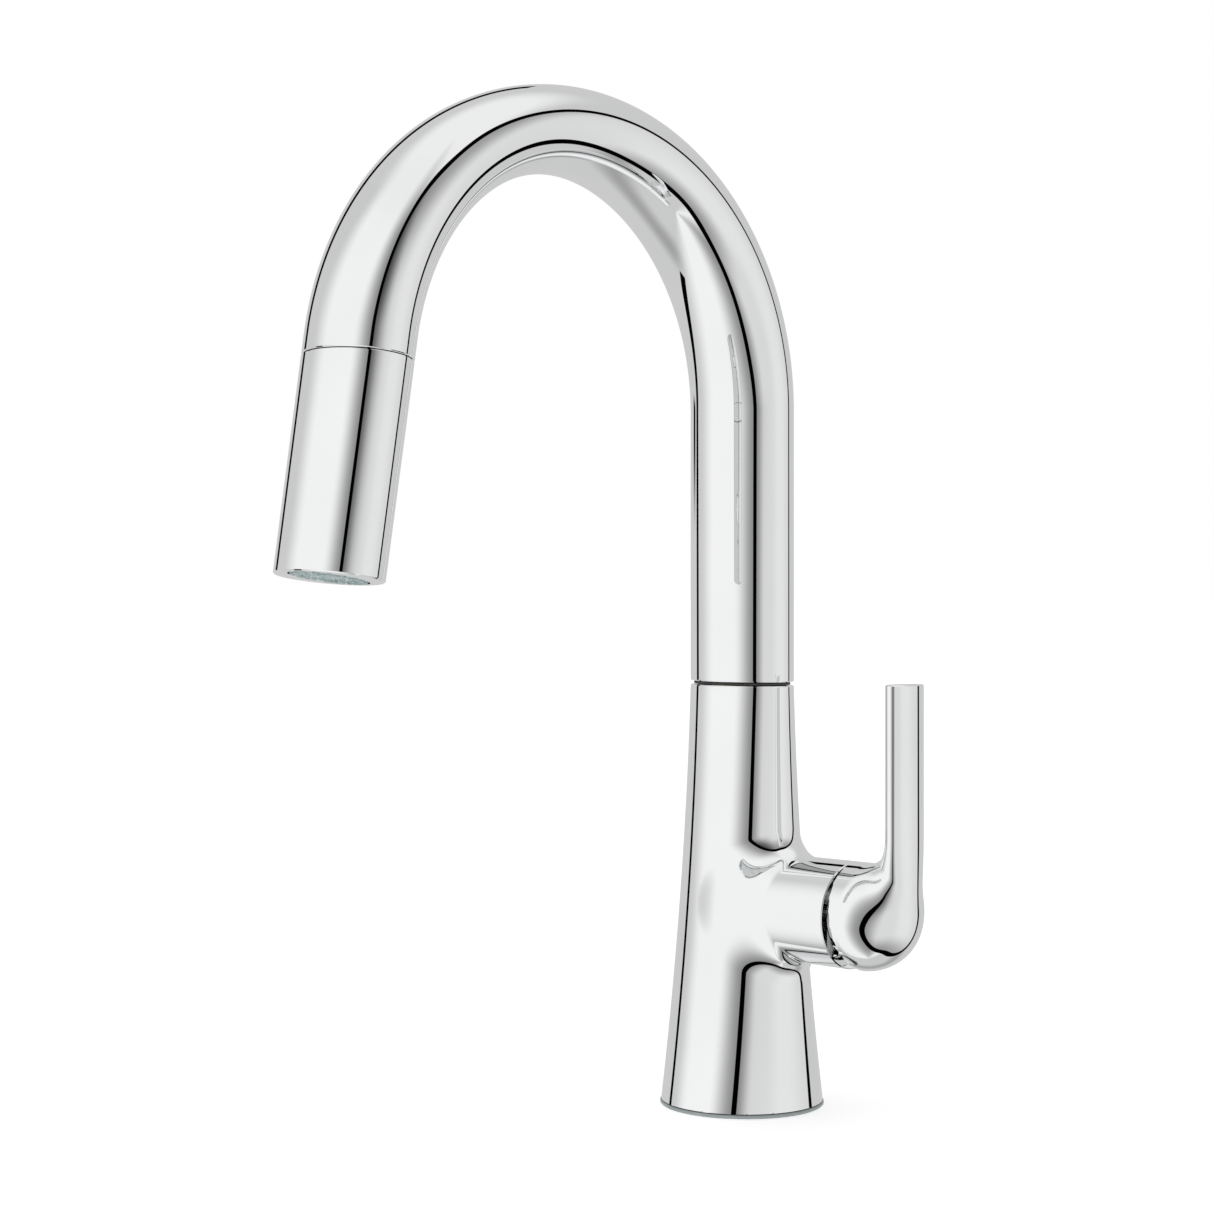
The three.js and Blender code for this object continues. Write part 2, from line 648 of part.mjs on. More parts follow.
function makeHeadInside() {
  const coreRadius = 13.6;
  const coreTop = -16;
  const coreBottom = -69.5;
  const spoolDepth = -ROCKER_DEPTH - 4.2;
  const core = cut(
    turned(rod(coreRadius, coreBottom, coreTop)),
    turned(rod(5.2, -56, coreTop + 1), 16),
    turned(rod(11, coreBottom - 1, -55), 20),
    turnedAlongY(rod(3.2, -10, 15), 12).translate(0, 0, spoolDepth),
    block(-10.5, 10.5, 9.2, 15, -ROCKER_DEPTH - 9, -ROCKER_DEPTH + 9),
  );
  addPiece('head_core', core, darkPlastic(), outlet);
  addPiece('check_valve', turned(ring(2.2, 4.9, -27, -17)), palePlastic(), outlet);
  const spool = [[0, -5], [2.9, -5], [2.9, -2], [1.5, -1], [1.5, 4], [2.9, 5], [2.9, 9], [0, 9]];
  addPiece('diverter_spool', turnedAlongY(spool, 12).translate(0, 0, spoolDepth), palePlastic(), outlet);
  const spring = turnedAlongY(ring(1.6, 2.6, -9.7, -5.7), 12).translate(0, 0, spoolDepth);
  addPiece('diverter_spring', spring, steel(), outlet);
  const nutBore = HOSE_RADIUS - 3;
  const nut = [
    [nutBore, -13], [6.2, -13], [6.2, -5], [7.8, -5], [7.8, -0.6], [nutBore, -0.6], [nutBore, -13],
  ];
  addPiece('hose_nut', turned(nut), brass(), outlet);
  addPiece('swivel_washer', turned(ring(3.4, 6.4, -15.5, -13.4)), rubber(), outlet);
}

function makeRocker() {
  const half = ROCKER_LENGTH / 2;
  const outline = new THREE.Shape();
  outline.moveTo(11.3, -half + 0.6);
  outline.lineTo(17.2, -half);
  outline.lineTo(18.5, -half + 1.6);
  outline.lineTo(18.1, 0);
  outline.lineTo(18.5, half - 1.6);
  outline.lineTo(17.2, half);
  outline.lineTo(11.3, half - 0.6);
  const halfWidth = 6.2;
  const body = new THREE.ExtrudeGeometry(outline, { depth: 2 * halfWidth, bevelEnabled: false });
  body.applyMatrix4(new THREE.Matrix4().makeBasis(
    new THREE.Vector3(0, 1, 0), new THREE.Vector3(0, 0, 1), new THREE.Vector3(1, 0, 0),
  )).translate(-halfWidth, 0, -ROCKER_DEPTH);
  const nose = block(-2, 2, 9.5, 12, -ROCKER_DEPTH - 5.4, -ROCKER_DEPTH - 3);
  const pinRadius = 1;
  const atPivot = (profile) => turnedAlongX(profile, 12).translate(0, ROCKER_PIVOT_Y, -ROCKER_DEPTH);
  const pinHole = atPivot(rod(pinRadius + GAP, -12, 12));
  addPiece('mode_rocker', cut(join(body, nose), pinHole), chrome(), outlet);
  addPiece('rocker_pin', atPivot(rod(pinRadius, -8.7, 8.7)), steel(), outlet);

  const bezelHalf = BEZEL_LENGTH / 2;
  const frame = cut(
    block(-8.9, 8.9, 10.4, 17.1, -ROCKER_DEPTH - bezelHalf, -ROCKER_DEPTH + bezelHalf),
    block(-6.6, 6.6, 9, 19, -ROCKER_DEPTH - half - 0.4, -ROCKER_DEPTH + half + 0.4),
    pinHole,
  );
  addPiece('rocker_bezel', frame, chrome(), outlet);
}

function makeSprayFace() {
  const faceBottom = -HEAD_LENGTH + 0.8;
  const disc = turned(ring(6, SPRAY_OPENING - 0.5, faceBottom, -71.3), FINE);
  const tip = faceBottom - 1.2;
  const root = faceBottom + 0.5;
  const nub = [[0, tip], [0.75, tip], [1.1, root], [0, root]];
  const nubs = [];
  for (const [count, radius] of [[14, 11.4], [8, 8.2]]) {
    for (let i = 0; i < count; i += 1) {
      const angle = (2 * Math.PI * (i + 0.5)) / count;
      nubs.push(turned(nub, 5).translate(radius * Math.cos(angle), radius * Math.sin(angle), 0));
    }
  }
  addPiece('spray_face', join(disc, ...nubs), palePlastic(), outlet);
  addPiece('aerator', turned([
    [0, -74.6], [4.6, -74.6], [4.6, -75.3], [5.7, -75.3], [5.7, -70.5], [0, -70.5],
  ], 20), palePlastic(), outlet);
  addPiece('face_seal', sealRing(11.4, 13.4, -71, -69.8), rubber(), outlet);
}

// ---------- put together ----------

const seam = spoutPoint(SPOUT_LENGTH);
outlet.position.copy(seam);
outlet.rotation.x = -OUTLET_TILT;
mixer.position.z = HUB_Z;
faucet.add(outlet, mixer);

makeBody();
makeDeckClamp();
makeWaterway();
makeCartridge();
makeHandle();
makeSpout();
makeHose();
makeDock();
makeHeadShell();
makeHeadInside();
makeRocker();
makeSprayFace();

export default faucet;
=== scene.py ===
# Pull-down kitchen faucet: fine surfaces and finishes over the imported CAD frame.
# Metres, +Z up. The spout reaches along -Y and the lever stands on the +X side.

import json
import math

import bmesh
import bpy
import numpy as np
from mathutils import Matrix, Vector

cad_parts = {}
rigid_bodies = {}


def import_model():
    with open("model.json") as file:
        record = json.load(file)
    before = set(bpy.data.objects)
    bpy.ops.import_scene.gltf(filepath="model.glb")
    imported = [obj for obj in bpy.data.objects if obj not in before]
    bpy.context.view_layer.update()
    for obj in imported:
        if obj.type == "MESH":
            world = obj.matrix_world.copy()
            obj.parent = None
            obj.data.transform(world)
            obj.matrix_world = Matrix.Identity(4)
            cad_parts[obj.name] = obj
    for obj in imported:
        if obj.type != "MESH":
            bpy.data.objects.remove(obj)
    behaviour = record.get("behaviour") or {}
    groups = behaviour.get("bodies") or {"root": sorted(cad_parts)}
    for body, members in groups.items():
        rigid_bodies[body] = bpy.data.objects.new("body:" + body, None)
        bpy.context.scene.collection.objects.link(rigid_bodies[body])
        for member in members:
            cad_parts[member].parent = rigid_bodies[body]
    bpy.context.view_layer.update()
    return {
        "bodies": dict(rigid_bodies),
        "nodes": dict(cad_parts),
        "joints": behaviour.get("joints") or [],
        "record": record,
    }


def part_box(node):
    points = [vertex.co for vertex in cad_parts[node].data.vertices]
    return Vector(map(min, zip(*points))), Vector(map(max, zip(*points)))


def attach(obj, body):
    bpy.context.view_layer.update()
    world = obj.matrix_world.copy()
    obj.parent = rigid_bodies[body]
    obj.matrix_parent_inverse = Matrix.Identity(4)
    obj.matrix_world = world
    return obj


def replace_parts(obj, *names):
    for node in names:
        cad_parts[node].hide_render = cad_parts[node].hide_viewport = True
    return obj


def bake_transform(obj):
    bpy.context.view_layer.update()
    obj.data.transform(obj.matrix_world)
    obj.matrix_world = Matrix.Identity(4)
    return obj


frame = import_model()
MM = 0.001

# ---------- sizes worked out from the frame ----------

SPOUT_LOW, SPOUT_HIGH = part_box("spout_tube")
BODY_LOW, BODY_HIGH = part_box("body_shell")
GASKET_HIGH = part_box("base_gasket")[1]
HANDLE_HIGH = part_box("handle")[1]
RING_LOW, RING_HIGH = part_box("swivel_ring")

# Spout: an oval tube, wider across the spout's plane than within it.
HALF_WIDE = (SPOUT_HIGH.x - SPOUT_LOW.x) / 2
HALF_DEEP = SPOUT_HIGH.y
TUBE_WALL = 1.6 * MM
OUTLET_TILT = math.radians(9.45)
OUTLET_STRAIGHT = 7.6 * MM
ARC_RADIUS = 99.1 * MM
ARC_ANGLE = math.pi - OUTLET_TILT
ARC_SPRING_Z = SPOUT_HIGH.z - ARC_RADIUS - HALF_DEEP
SPOUT_BOTTOM_Z = SPOUT_LOW.z
RISER = ARC_SPRING_Z - SPOUT_BOTTOM_Z
SPOUT_LENGTH = RISER + ARC_ANGLE * ARC_RADIUS + OUTLET_STRAIGHT

# Body: round at the deck, oval where it meets the spout, with a round boss on the +X side.
BODY_TOP_Z = BODY_HIGH.z
BODY_BOTTOM_Z = BODY_LOW.z
BASE_RADIUS = GASKET_HIGH.x - 0.2 * MM
MEAN_SLOPE = 4.73 * MM          # growth of the body's mean radius if its top slope went on to the deck
BOSS_RADIUS = 20.6 * MM
BOSS_BORE = 17.3 * MM
BOSS_END_X = BODY_HIGH.x
BOSS_FILLET = 10 * MM
BOSS_FADE_X = 12 * MM           # the boss fades out of the body's shape behind this
BOSS_FADE = 30 * MM             # the larger, the longer it takes to fade
HUB_Z = 80 * MM

# Handle: a domed hub and an oval lever that rises from it.
PIVOT_X = 46 * MM
HUB_DOME_X = 63.4 * MM
RIM_TOP_X = 58.5 * MM
RIM_BOTTOM_X = 64.8 * MM
LEVER_X = 81.6 * MM
LEVER_HALF_THICK = 5.2 * MM
LEVER_HALF_WIDE = 9.75 * MM
LEVER_TOP_Z = HANDLE_HIGH.z
LEVER_OUT_X = LEVER_X + LEVER_HALF_THICK
BEND_INSIDE = 11 * MM           # radius of the hollow between the hub's top and the lever
BEND_X = LEVER_X - LEVER_HALF_THICK - BEND_INSIDE
BEND_Z = HUB_Z + BOSS_RADIUS + BEND_INSIDE
WIDENING_START = math.radians(42)    # how far round the bend the lever starts to widen
ELBOW_RADIUS = LEVER_OUT_X - HUB_DOME_X
ELBOW_Z = HUB_Z - BOSS_RADIUS + ELBOW_RADIUS

# Spray head, measured down the outlet axis from its seam with the spout.
HEAD_LENGTH = 76.4 * MM
HEAD_END_SCALE = 0.985
SPRAY_OPENING = 14.1 * MM
ROCKER_DEPTH = 40.3 * MM

EDGE = 0.4 * MM                 # small chamfer on every chrome edge
HOSE_RADIUS = 6 * MM
TINY = 1e-6

# ---------- camera ----------

CAMERA_AZIMUTH = math.radians(44.65)
CAMERA_DISTANCE = 0.976
CAMERA_HEIGHT = 0.2074
CAMERA_ASIDE = 0.0539
CAMERA_LENS_MM = 72.4
CAMERA_SENSOR_MM = 36
CAMERA_NEAR = 0.01
CAMERA_FAR = 60
CAMERA_SHIFT = -0.0199

TOWARD_CAMERA = Vector((math.sin(CAMERA_AZIMUTH), -math.cos(CAMERA_AZIMUTH), 0))
CAMERA_RIGHT = Vector((math.cos(CAMERA_AZIMUTH), math.sin(CAMERA_AZIMUTH), 0))


def make_camera():
    data = bpy.data.cameras.new("camera")
    data.lens = CAMERA_LENS_MM
    data.sensor_width = CAMERA_SENSOR_MM
    data.shift_y = CAMERA_SHIFT
    data.clip_start = CAMERA_NEAR
    data.clip_end = CAMERA_FAR
    camera = bpy.data.objects.new("camera", data)
    bpy.context.scene.collection.objects.link(camera)
    place = TOWARD_CAMERA * CAMERA_DISTANCE - CAMERA_RIGHT * CAMERA_ASIDE
    camera.location = (place.x, place.y, CAMERA_HEIGHT)
    camera.rotation_euler = (math.pi / 2, 0, CAMERA_AZIMUTH)
    bpy.context.scene.camera = camera


# ---------- materials ----------
# Scales are in waves or cells per metre, depths in metres.

NOISE_LOW = 0.3                 # noise seldom leaves this range, so it is spread from here
NOISE_HIGH = 0.7


class Nodes:
    """Small helper to lay nodes in a tree and link them."""

    def __init__(self, tree):
        self.tree = tree

    def add(self, kind, **settings):
        node = self.tree.nodes.new(kind)
        for key, value in settings.items():
            setattr(node, key, value)
        return node

    def link(self, start, end):
        self.tree.links.new(start, end)


def blank_material(name):
    material = bpy.data.materials.new(name)
    material.use_nodes = True
    return material, Nodes(material.node_tree), material.node_tree.nodes["Principled BSDF"]


def noise(nodes, place, scale, detail=3.0):
    texture = nodes.add("ShaderNodeTexNoise")
    texture.inputs["Scale"].default_value = scale
    texture.inputs["Detail"].default_value = detail
    nodes.link(place, texture.inputs["Vector"])
    return texture.outputs["Fac"]


def spread(nodes, value, low, high):
    """Maps a noise value onto a range."""
    remap = nodes.add("ShaderNodeMapRange")
    remap.inputs["From Min"].default_value = NOISE_LOW
    remap.inputs["From Max"].default_value = NOISE_HIGH
    remap.inputs["To Min"].default_value = low
    remap.inputs["To Max"].default_value = high
    nodes.link(value, remap.inputs["Value"])
    return remap.outputs["Result"]


def tinted(nodes, value, dark, light):
    ramp = nodes.add("ShaderNodeValToRGB")
    for stop, position, colour in zip(ramp.color_ramp.elements, (NOISE_LOW, NOISE_HIGH), (dark, light)):
        stop.position = position
        stop.color = (*colour, 1)
    nodes.link(value, ramp.inputs["Fac"])
    return ramp.outputs["Color"]


def bumped(nodes, shader, height, depth):
    bump = nodes.add("ShaderNodeBump")
    bump.inputs["Strength"].default_value = 1.0
    bump.inputs["Distance"].default_value = depth
    nodes.link(height, bump.inputs["Height"])
    nodes.link(bump.outputs["Normal"], shader.inputs["Normal"])


def object_place(nodes):
    return nodes.add("ShaderNodeTexCoord").outputs["Object"]


def surface_material(name, dark, light, rough, metallic, blotch, grain, grain_depth):
    """A finish whose colour and roughness drift over blotches per metre, with a fine grain."""
    material, nodes, shader = blank_material(name)
    place = object_place(nodes)
    drift = noise(nodes, place, blotch)
    nodes.link(tinted(nodes, drift, dark, light), shader.inputs["Base Color"])
    nodes.link(spread(nodes, noise(nodes, place, blotch * 3), *rough), shader.inputs["Roughness"])
    shader.inputs["Metallic"].default_value = metallic
    bumped(nodes, shader, noise(nodes, place, grain, 2.0), grain_depth)
    return material, nodes, shader


def turned_metal(name, dark, light, rough):
    """Metal with fine rings left by the lathe tool."""
    material, nodes, shader = blank_material(name)
    place = object_place(nodes)
    drift = noise(nodes, place, 60)
    nodes.link(tinted(nodes, drift, dark, light), shader.inputs["Base Color"])
    nodes.link(spread(nodes, drift, *rough), shader.inputs["Roughness"])
    shader.inputs["Metallic"].default_value = 1.0
    lines = nodes.add("ShaderNodeTexWave", wave_type="BANDS", bands_direction="Z")
    lines.inputs["Scale"].default_value = 700
    lines.inputs["Distortion"].default_value = 1.5
    nodes.link(place, lines.inputs["Vector"])
    bumped(nodes, shader, lines.outputs["Fac"], 0.02 * MM)
    return material


def hose_material():
    """Braided nylon: two families of strands crossing round the hose."""
    material, nodes, shader = blank_material("hose_braid")
    place = object_place(nodes)
    lean, roll = math.radians(35), math.radians(20)
    heights = []
    for side in (1, -1):
        tilt = nodes.add("ShaderNodeMapping")
        tilt.inputs["Rotation"].default_value = (side * lean, side * roll, 0)
        nodes.link(place, tilt.inputs["Vector"])
        strands = nodes.add("ShaderNodeTexWave", wave_type="BANDS", bands_direction="X")
        strands.inputs["Scale"].default_value = 260
        nodes.link(tilt.outputs["Vector"], strands.inputs["Vector"])
        heights.append(strands.outputs["Fac"])
    weave = nodes.add("ShaderNodeMath", operation="MAXIMUM")
    for height, slot in zip(heights, weave.inputs):
        nodes.link(height, slot)
    braid = weave.outputs["Value"]
    nodes.link(tinted(nodes, braid, (0.05, 0.055, 0.06), (0.2, 0.21, 0.22)), shader.inputs["Base Color"])
    shader.inputs["Roughness"].default_value = 0.5
    bumped(nodes, shader, braid, 0.2 * MM)
    return material


def nozzle_material():
    """Soft, slightly see-through silicone of the spray face."""
    material, _, shader = surface_material(
        "spray_silicone", dark=(0.36, 0.44, 0.44), light=(0.46, 0.54, 0.54), rough=(0.28, 0.42),
        metallic=0.0, blotch=90, grain=1500, grain_depth=0.02 * MM,
    )
    shader.inputs["Subsurface Weight"].default_value = 0.35
    shader.inputs["Subsurface Radius"].default_value = (2 * MM, 2 * MM, 2 * MM)
    shader.inputs["Coat Weight"].default_value = 0.3
    shader.inputs["Coat Roughness"].default_value = 0.1
    return material


def ceramic_material():
    material, _, shader = surface_material(
        "lapped_ceramic", dark=(0.78, 0.77, 0.73), light=(0.88, 0.87, 0.83), rough=(0.12, 0.22),
        metallic=0.0, blotch=120, grain=2200, grain_depth=0.004 * MM,
    )
    shader.inputs["Coat Weight"].default_value = 0.4
    return material


def make_materials():
    def surface(name, **settings):
        return surface_material(name, **settings)[0]

    return {
        "chrome": surface(
            "polished_chrome", dark=(0.93, 0.935, 0.94), light=(0.965, 0.968, 0.972), rough=(0.0, 0.03),
            metallic=1.0, blotch=22, grain=160, grain_depth=0.0012 * MM,
        ),
        "brass": turned_metal("machined_brass", (0.62, 0.43, 0.18), (0.78, 0.58, 0.28), (0.18, 0.34)),
        "steel": turned_metal("machined_steel", (0.48, 0.49, 0.5), (0.62, 0.63, 0.64), (0.2, 0.36)),
        "copper": surface(
            "drawn_copper", dark=(0.55, 0.24, 0.13), light=(0.78, 0.42, 0.27), rough=(0.16, 0.36),
            metallic=1.0, blotch=70, grain=900, grain_depth=0.01 * MM,
        ),
        "rubber": surface(
            "dark_rubber", dark=(0.05, 0.053, 0.052), light=(0.075, 0.08, 0.078), rough=(0.55, 0.75),
            metallic=0.0, blotch=80, grain=1400, grain_depth=0.04 * MM,
        ),
        "gasket": surface(
            "grey_gasket", dark=(0.34, 0.38, 0.38), light=(0.43, 0.47, 0.47), rough=(0.45, 0.62),
            metallic=0.0, blotch=70, grain=1800, grain_depth=0.03 * MM,
        ),
        "dark_plastic": surface(
            "dark_moulding", dark=(0.03, 0.032, 0.035), light=(0.06, 0.063, 0.068), rough=(0.38, 0.55),
            metallic=0.0, blotch=90, grain=1800, grain_depth=0.03 * MM,
        ),
        "cartridge_plastic": surface(
            "cartridge_moulding", dark=(0.62, 0.63, 0.61), light=(0.74, 0.75, 0.73), rough=(0.32, 0.48),
            metallic=0.0, blotch=90, grain=1600, grain_depth=0.02 * MM,
        ),
        "pale_plastic": nozzle_material(),
        "ceramic": ceramic_material(),
        "hose": hose_material(),
    }


MATERIALS = make_materials()

# ---------- mesh helpers ----------


def new_object(name, mesh, body, slot):
    piece = bpy.data.objects.new(name, mesh)
    bpy.context.scene.collection.objects.link(piece)
    mesh.materials.append(MATERIALS[slot])
    if body:
        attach(piece, body)
    return piece


def face_outward(mesh):
    skin = bmesh.new()
    skin.from_mesh(mesh)
    bmesh.ops.recalc_face_normals(skin, faces=skin.faces)
    skin.to_mesh(mesh)
    skin.free()


def crisp(mesh, degrees=30):
    """Smooth shading, with every edge sharper than an angle left as an edge."""
    mesh.shade_smooth()
    mesh.set_sharp_from_angle(angle=math.radians(degrees))


def grid_mesh(name, rings, cap_start=False, cap_end=False, loop=False):
    """A tube of quads through rings, an array of (ring, point, xyz)."""
    rings = np.asarray(rings, dtype=float)
    count, around, _ = rings.shape
    spans = count if loop else count - 1
    faces = []
    for i in range(spans):
        low, high = i * around, ((i + 1) % count) * around
        for j in range(around):
            k = (j + 1) % around
            faces.append((low + j, low + k, high + k, high + j))
    if cap_start:
        faces.append(tuple(range(around - 1, -1, -1)))
    if cap_end:
        faces.append(tuple((count - 1) * around + v for v in range(around)))
    mesh = bpy.data.meshes.new(name)
    mesh.from_pydata([tuple(v) for v in rings.reshape(-1, 3).tolist()], [], faces)
    face_outward(mesh)
    crisp(mesh)
    return mesh


def ellipse(half_first, half_second, count):
    angle = np.linspace(0, 2 * np.pi, count, endpoint=False)
    return half_first * np.cos(angle), half_second * np.sin(angle)


def flat_ring(half_first, half_second, height, count):
    """An ellipse's points at one height."""
    first, second = ellipse(half_first, half_second, count)
    return np.stack([first, second, np.full(count, height)], axis=1)


def turned(name, profile, place=None, sides=96, closed=False):
    """A profile of (radius, height) points turned about local Z and put in place."""
    rings = [flat_ring(radius, radius, height, sides) for radius, height in profile]
    mesh = grid_mesh(name, rings, not closed, not closed, loop=closed)
    if place:
        mesh.transform(place)
    return mesh


def washer_profile(inner, outer, low, high, edge):
    """A ring's section with small chamfers, going once round."""
    return [
        (inner, low + edge), (inner + edge, low), (outer - edge, low), (outer, low + edge),
        (outer, high - edge), (outer - edge, high), (inner + edge, high), (inner, high - edge),
    ]


def joined(name, meshes):
    """One mesh from several."""
    whole = bmesh.new()
    for mesh in meshes:
        whole.from_mesh(mesh)
    result = bpy.data.meshes.new(name)
    whole.to_mesh(result)
    whole.free()
    crisp(result)
    return result


def rounded_box_outline(half_first, half_second, radius, steps=6):
    """Corners of a rounded rectangle, going once round."""
    points = []
    for quarter, (a, b) in enumerate(((1, 1), (-1, 1), (-1, -1), (1, -1))):
        for step in range(steps + 1):
            turn = (quarter + step / steps) * math.pi / 2
            points.append((
                a * (half_first - radius) + radius * math.cos(turn),
                b * (half_second - radius) + radius * math.sin(turn),
            ))
    return np.array(points)


# ---------- places ----------


def spout_frame(distance):
    """Centre, direction and in-plane outward normal at a distance along the spout."""
    angle = min(max((distance - RISER) / ARC_RADIUS, 0), ARC_ANGLE)
    centre = Vector((0, -ARC_RADIUS * (1 - math.cos(angle)), ARC_SPRING_Z + ARC_RADIUS * math.sin(angle)))
    along = Vector((0, -math.sin(angle), math.cos(angle)))
    if distance < RISER:
        centre.z = SPOUT_BOTTOM_Z + distance
    centre += along * max(distance - RISER - ARC_ANGLE * ARC_RADIUS, 0)
    outward = Vector((0, math.cos(angle), math.sin(angle)))
    return centre, along, outward


def frame_matrix(origin, x_axis, y_axis, z_axis):
    columns = Matrix((x_axis, y_axis, z_axis)).transposed()
    return Matrix.Translation(origin) @ columns.to_4x4()


SEAM, DOWN_OUTLET, FAR_SIDE = spout_frame(SPOUT_LENGTH)
OUTLET = frame_matrix(SEAM, Vector((1, 0, 0)), -FAR_SIDE, -DOWN_OUTLET)
HUB = frame_matrix(Vector((0, 0, HUB_Z)), Vector((0, 1, 0)), Vector((0, 0, 1)), Vector((1, 0, 0)))

# ---------- distance fields ----------
# A field takes an array of points and gives a distance that is negative inside.


def oval_distance(first, second, half_first, half_second):
    """Distance to an ellipse, close to true near its edge."""
    q = np.sqrt((first / half_first) ** 2 + (second / half_second) ** 2)
    steep = np.sqrt((first / half_first**2) ** 2 + (second / half_second**2) ** 2)
    return (q - 1) * q / np.maximum(steep, TINY)


def filleted(a, b, radius):
    """The union of two fields with a round fillet where they meet. The radius may vary."""
    near_a = np.maximum(radius - a, 0)
    near_b = np.maximum(radius - b, 0)
    return np.maximum(radius, np.minimum(a, b)) - np.hypot(near_a, near_b)


def body_half_axes(z):
    """Half-axes of the body's outside. The mean grows towards the deck as the oval turns round."""
    down = (BODY_TOP_Z - z) / BODY_TOP_Z
    top_mean = math.hypot(HALF_WIDE, HALF_DEEP) / math.sqrt(2)
    mean = top_mean + MEAN_SLOPE * down + (BASE_RADIUS - top_mean - MEAN_SLOPE) * down**2
    ratio = 1 + (HALF_WIDE / HALF_DEEP - 1) * (1 - down)
    deep = mean * np.sqrt(2 / (1 + ratio**2))
    return deep * ratio, deep


def body_field(p):
    wide, deep = body_half_axes(p[:, 2])
    trunk = oval_distance(p[:, 0], p[:, 1], wide, deep)
    boss = np.hypot(p[:, 1], p[:, 2] - HUB_Z) - BOSS_RADIUS
    boss = boss + np.maximum(BOSS_FADE_X - p[:, 0], 0) ** 2 / BOSS_FADE
    return filleted(trunk, boss, BOSS_FILLET)


def bend_section(angle):
    """The handle's section at an angle round the bend: its outer reach and its half width."""
    cosine, sine = np.cos(angle), np.sin(angle)
    reach = LEVER_OUT_X - BEND_X
    aside, drop = BEND_X - HUB_DOME_X, BEND_Z - ELBOW_Z
    toward = aside * cosine - drop * sine
    curled = np.sqrt(np.maximum(toward**2 - aside**2 - drop**2 + ELBOW_RADIUS**2, 0)) - toward
    outside = np.where(angle < math.atan(drop / reach), reach / np.maximum(cosine, TINY), curled)
    share = np.clip((angle - WIDENING_START) / (math.pi / 2 - WIDENING_START), 0, 1)
    half_wide = LEVER_HALF_WIDE + (BOSS_RADIUS - LEVER_HALF_WIDE) * share**2 * (3 - 2 * share)
    return outside, half_wide


def handle_field(p):
    """The hub's round section swept about the bend and drawn out into the lever's flat oval."""
    across, below = p[:, 0] - BEND_X, BEND_Z - p[:, 2]
    angle = np.clip(np.arctan2(below, across), 0, math.pi / 2)
    outside, half_wide = bend_section(angle)
    half_thick = (outside - BEND_INSIDE) / 2
    from_bend = across * np.cos(angle) + below * np.sin(angle)
    return oval_distance(from_bend - BEND_INSIDE - half_thick, p[:, 1], half_thick, half_wide)


def head_field(p):
    """The spray head's outside, in world coordinates."""
    local = (p - np.array(SEAM)) @ np.array(OUTLET.to_3x3())
    scale = 1 + (HEAD_END_SCALE - 1) * -local[:, 2] / HEAD_LENGTH
    return oval_distance(local[:, 0], local[:, 1], HALF_WIDE * scale, HALF_DEEP * scale)


def gradient(field, points):
    step = 0.01 * MM
    parts = []
    for axis in range(3):
        shift = np.zeros(3)
        shift[axis] = step
        parts.append((field(points + shift) - field(points - shift)) / (2 * step))
    return np.stack(parts, axis=1)


def settle(field, points, rounds=6, flat=None):
    """Moves points onto a field's surface, within the plane whose normal is flat if one is given."""
    least_slope = 0.05
    for _ in range(rounds):
        slope = gradient(field, points)
        if flat is not None:
            slope = slope - (slope @ flat)[:, None] * flat
        size = np.maximum((slope**2).sum(axis=1), least_slope)
        points = points - (field(points) / size)[:, None] * slope
    return points


# ---------- skins from fields ----------


def vertex_array(mesh):
    points = np.zeros(len(mesh.vertices) * 3)
    mesh.vertices.foreach_get("co", points)
    return points.reshape(-1, 3)


def remeshed(name, rough_parts, voxel):
    """One even mesh round overlapping closed meshes."""
    rough = joined(name + "_rough", rough_parts)
    holder = bpy.data.objects.new(name + "_rough", rough)
    bpy.context.scene.collection.objects.link(holder)
    modifier = holder.modifiers.new("even", "REMESH")
    modifier.mode = "VOXEL"
    modifier.voxel_size = voxel
    graph = bpy.context.evaluated_depsgraph_get()
    even = bpy.data.meshes.new_from_object(holder.evaluated_get(graph))
    even.name = name
    bpy.data.objects.remove(holder)
    return even


def trim_end(skin, field, at, outward, lip, depth):
    """Cuts a skin square at a plane, with a small chamfer, a flat lip and a short inner wall.
    A lip of None closes the end instead."""
    at, outward = Vector(at), Vector(outward).normalized()
    flat = np.array(outward)

    def height(vertex):
        return (vertex.co - at).dot(outward)

    for offset, clear in ((-EDGE, False), (0, True)):
        everything = skin.verts[:] + skin.edges[:] + skin.faces[:]
        bmesh.ops.bisect_plane(
            skin, geom=everything, dist=TINY / 10, plane_co=at + outward * offset, plane_no=outward,
            clear_outer=clear,
        )
    for level in (-EDGE, 0):
        group = [v for v in skin.verts if abs(height(v) - level) < TINY]
        points = settle(field, np.array([v.co for v in group]), flat=flat)
        for vertex, point in zip(group, points):
            vertex.co = point
    rim = [v for v in skin.verts if abs(height(v)) < TINY]
    slopes = gradient(field, np.array([v.co for v in rim]))
    inward = {}
    for vertex, slope in zip(rim, slopes):
        inward[vertex] = -Vector(slope - (slope @ flat) * flat).normalized()
    for vertex in rim:
        vertex.co += inward[vertex] * EDGE
    loop = [e for e in skin.edges if e.is_boundary and all(v in inward for v in e.verts)]
    if lip is None:
        bmesh.ops.contextual_create(skin, geom=loop)
        return
    for step in ("lip", "wall"):
        made = bmesh.ops.extrude_edge_only(skin, edges=loop)["geom"]
        fresh = {g for g in made if isinstance(g, bmesh.types.BMVert)}
        for vertex in fresh:
            others = [e.other_vert(vertex) for e in vertex.link_edges]
            inward[vertex] = inward[next(o for o in others if o not in fresh)]
        for vertex in fresh:
            vertex.co += inward[vertex] * lip if step == "lip" else -outward * depth
        loop = [e for e in skin.edges if e.is_boundary and all(v in fresh for v in e.verts)]


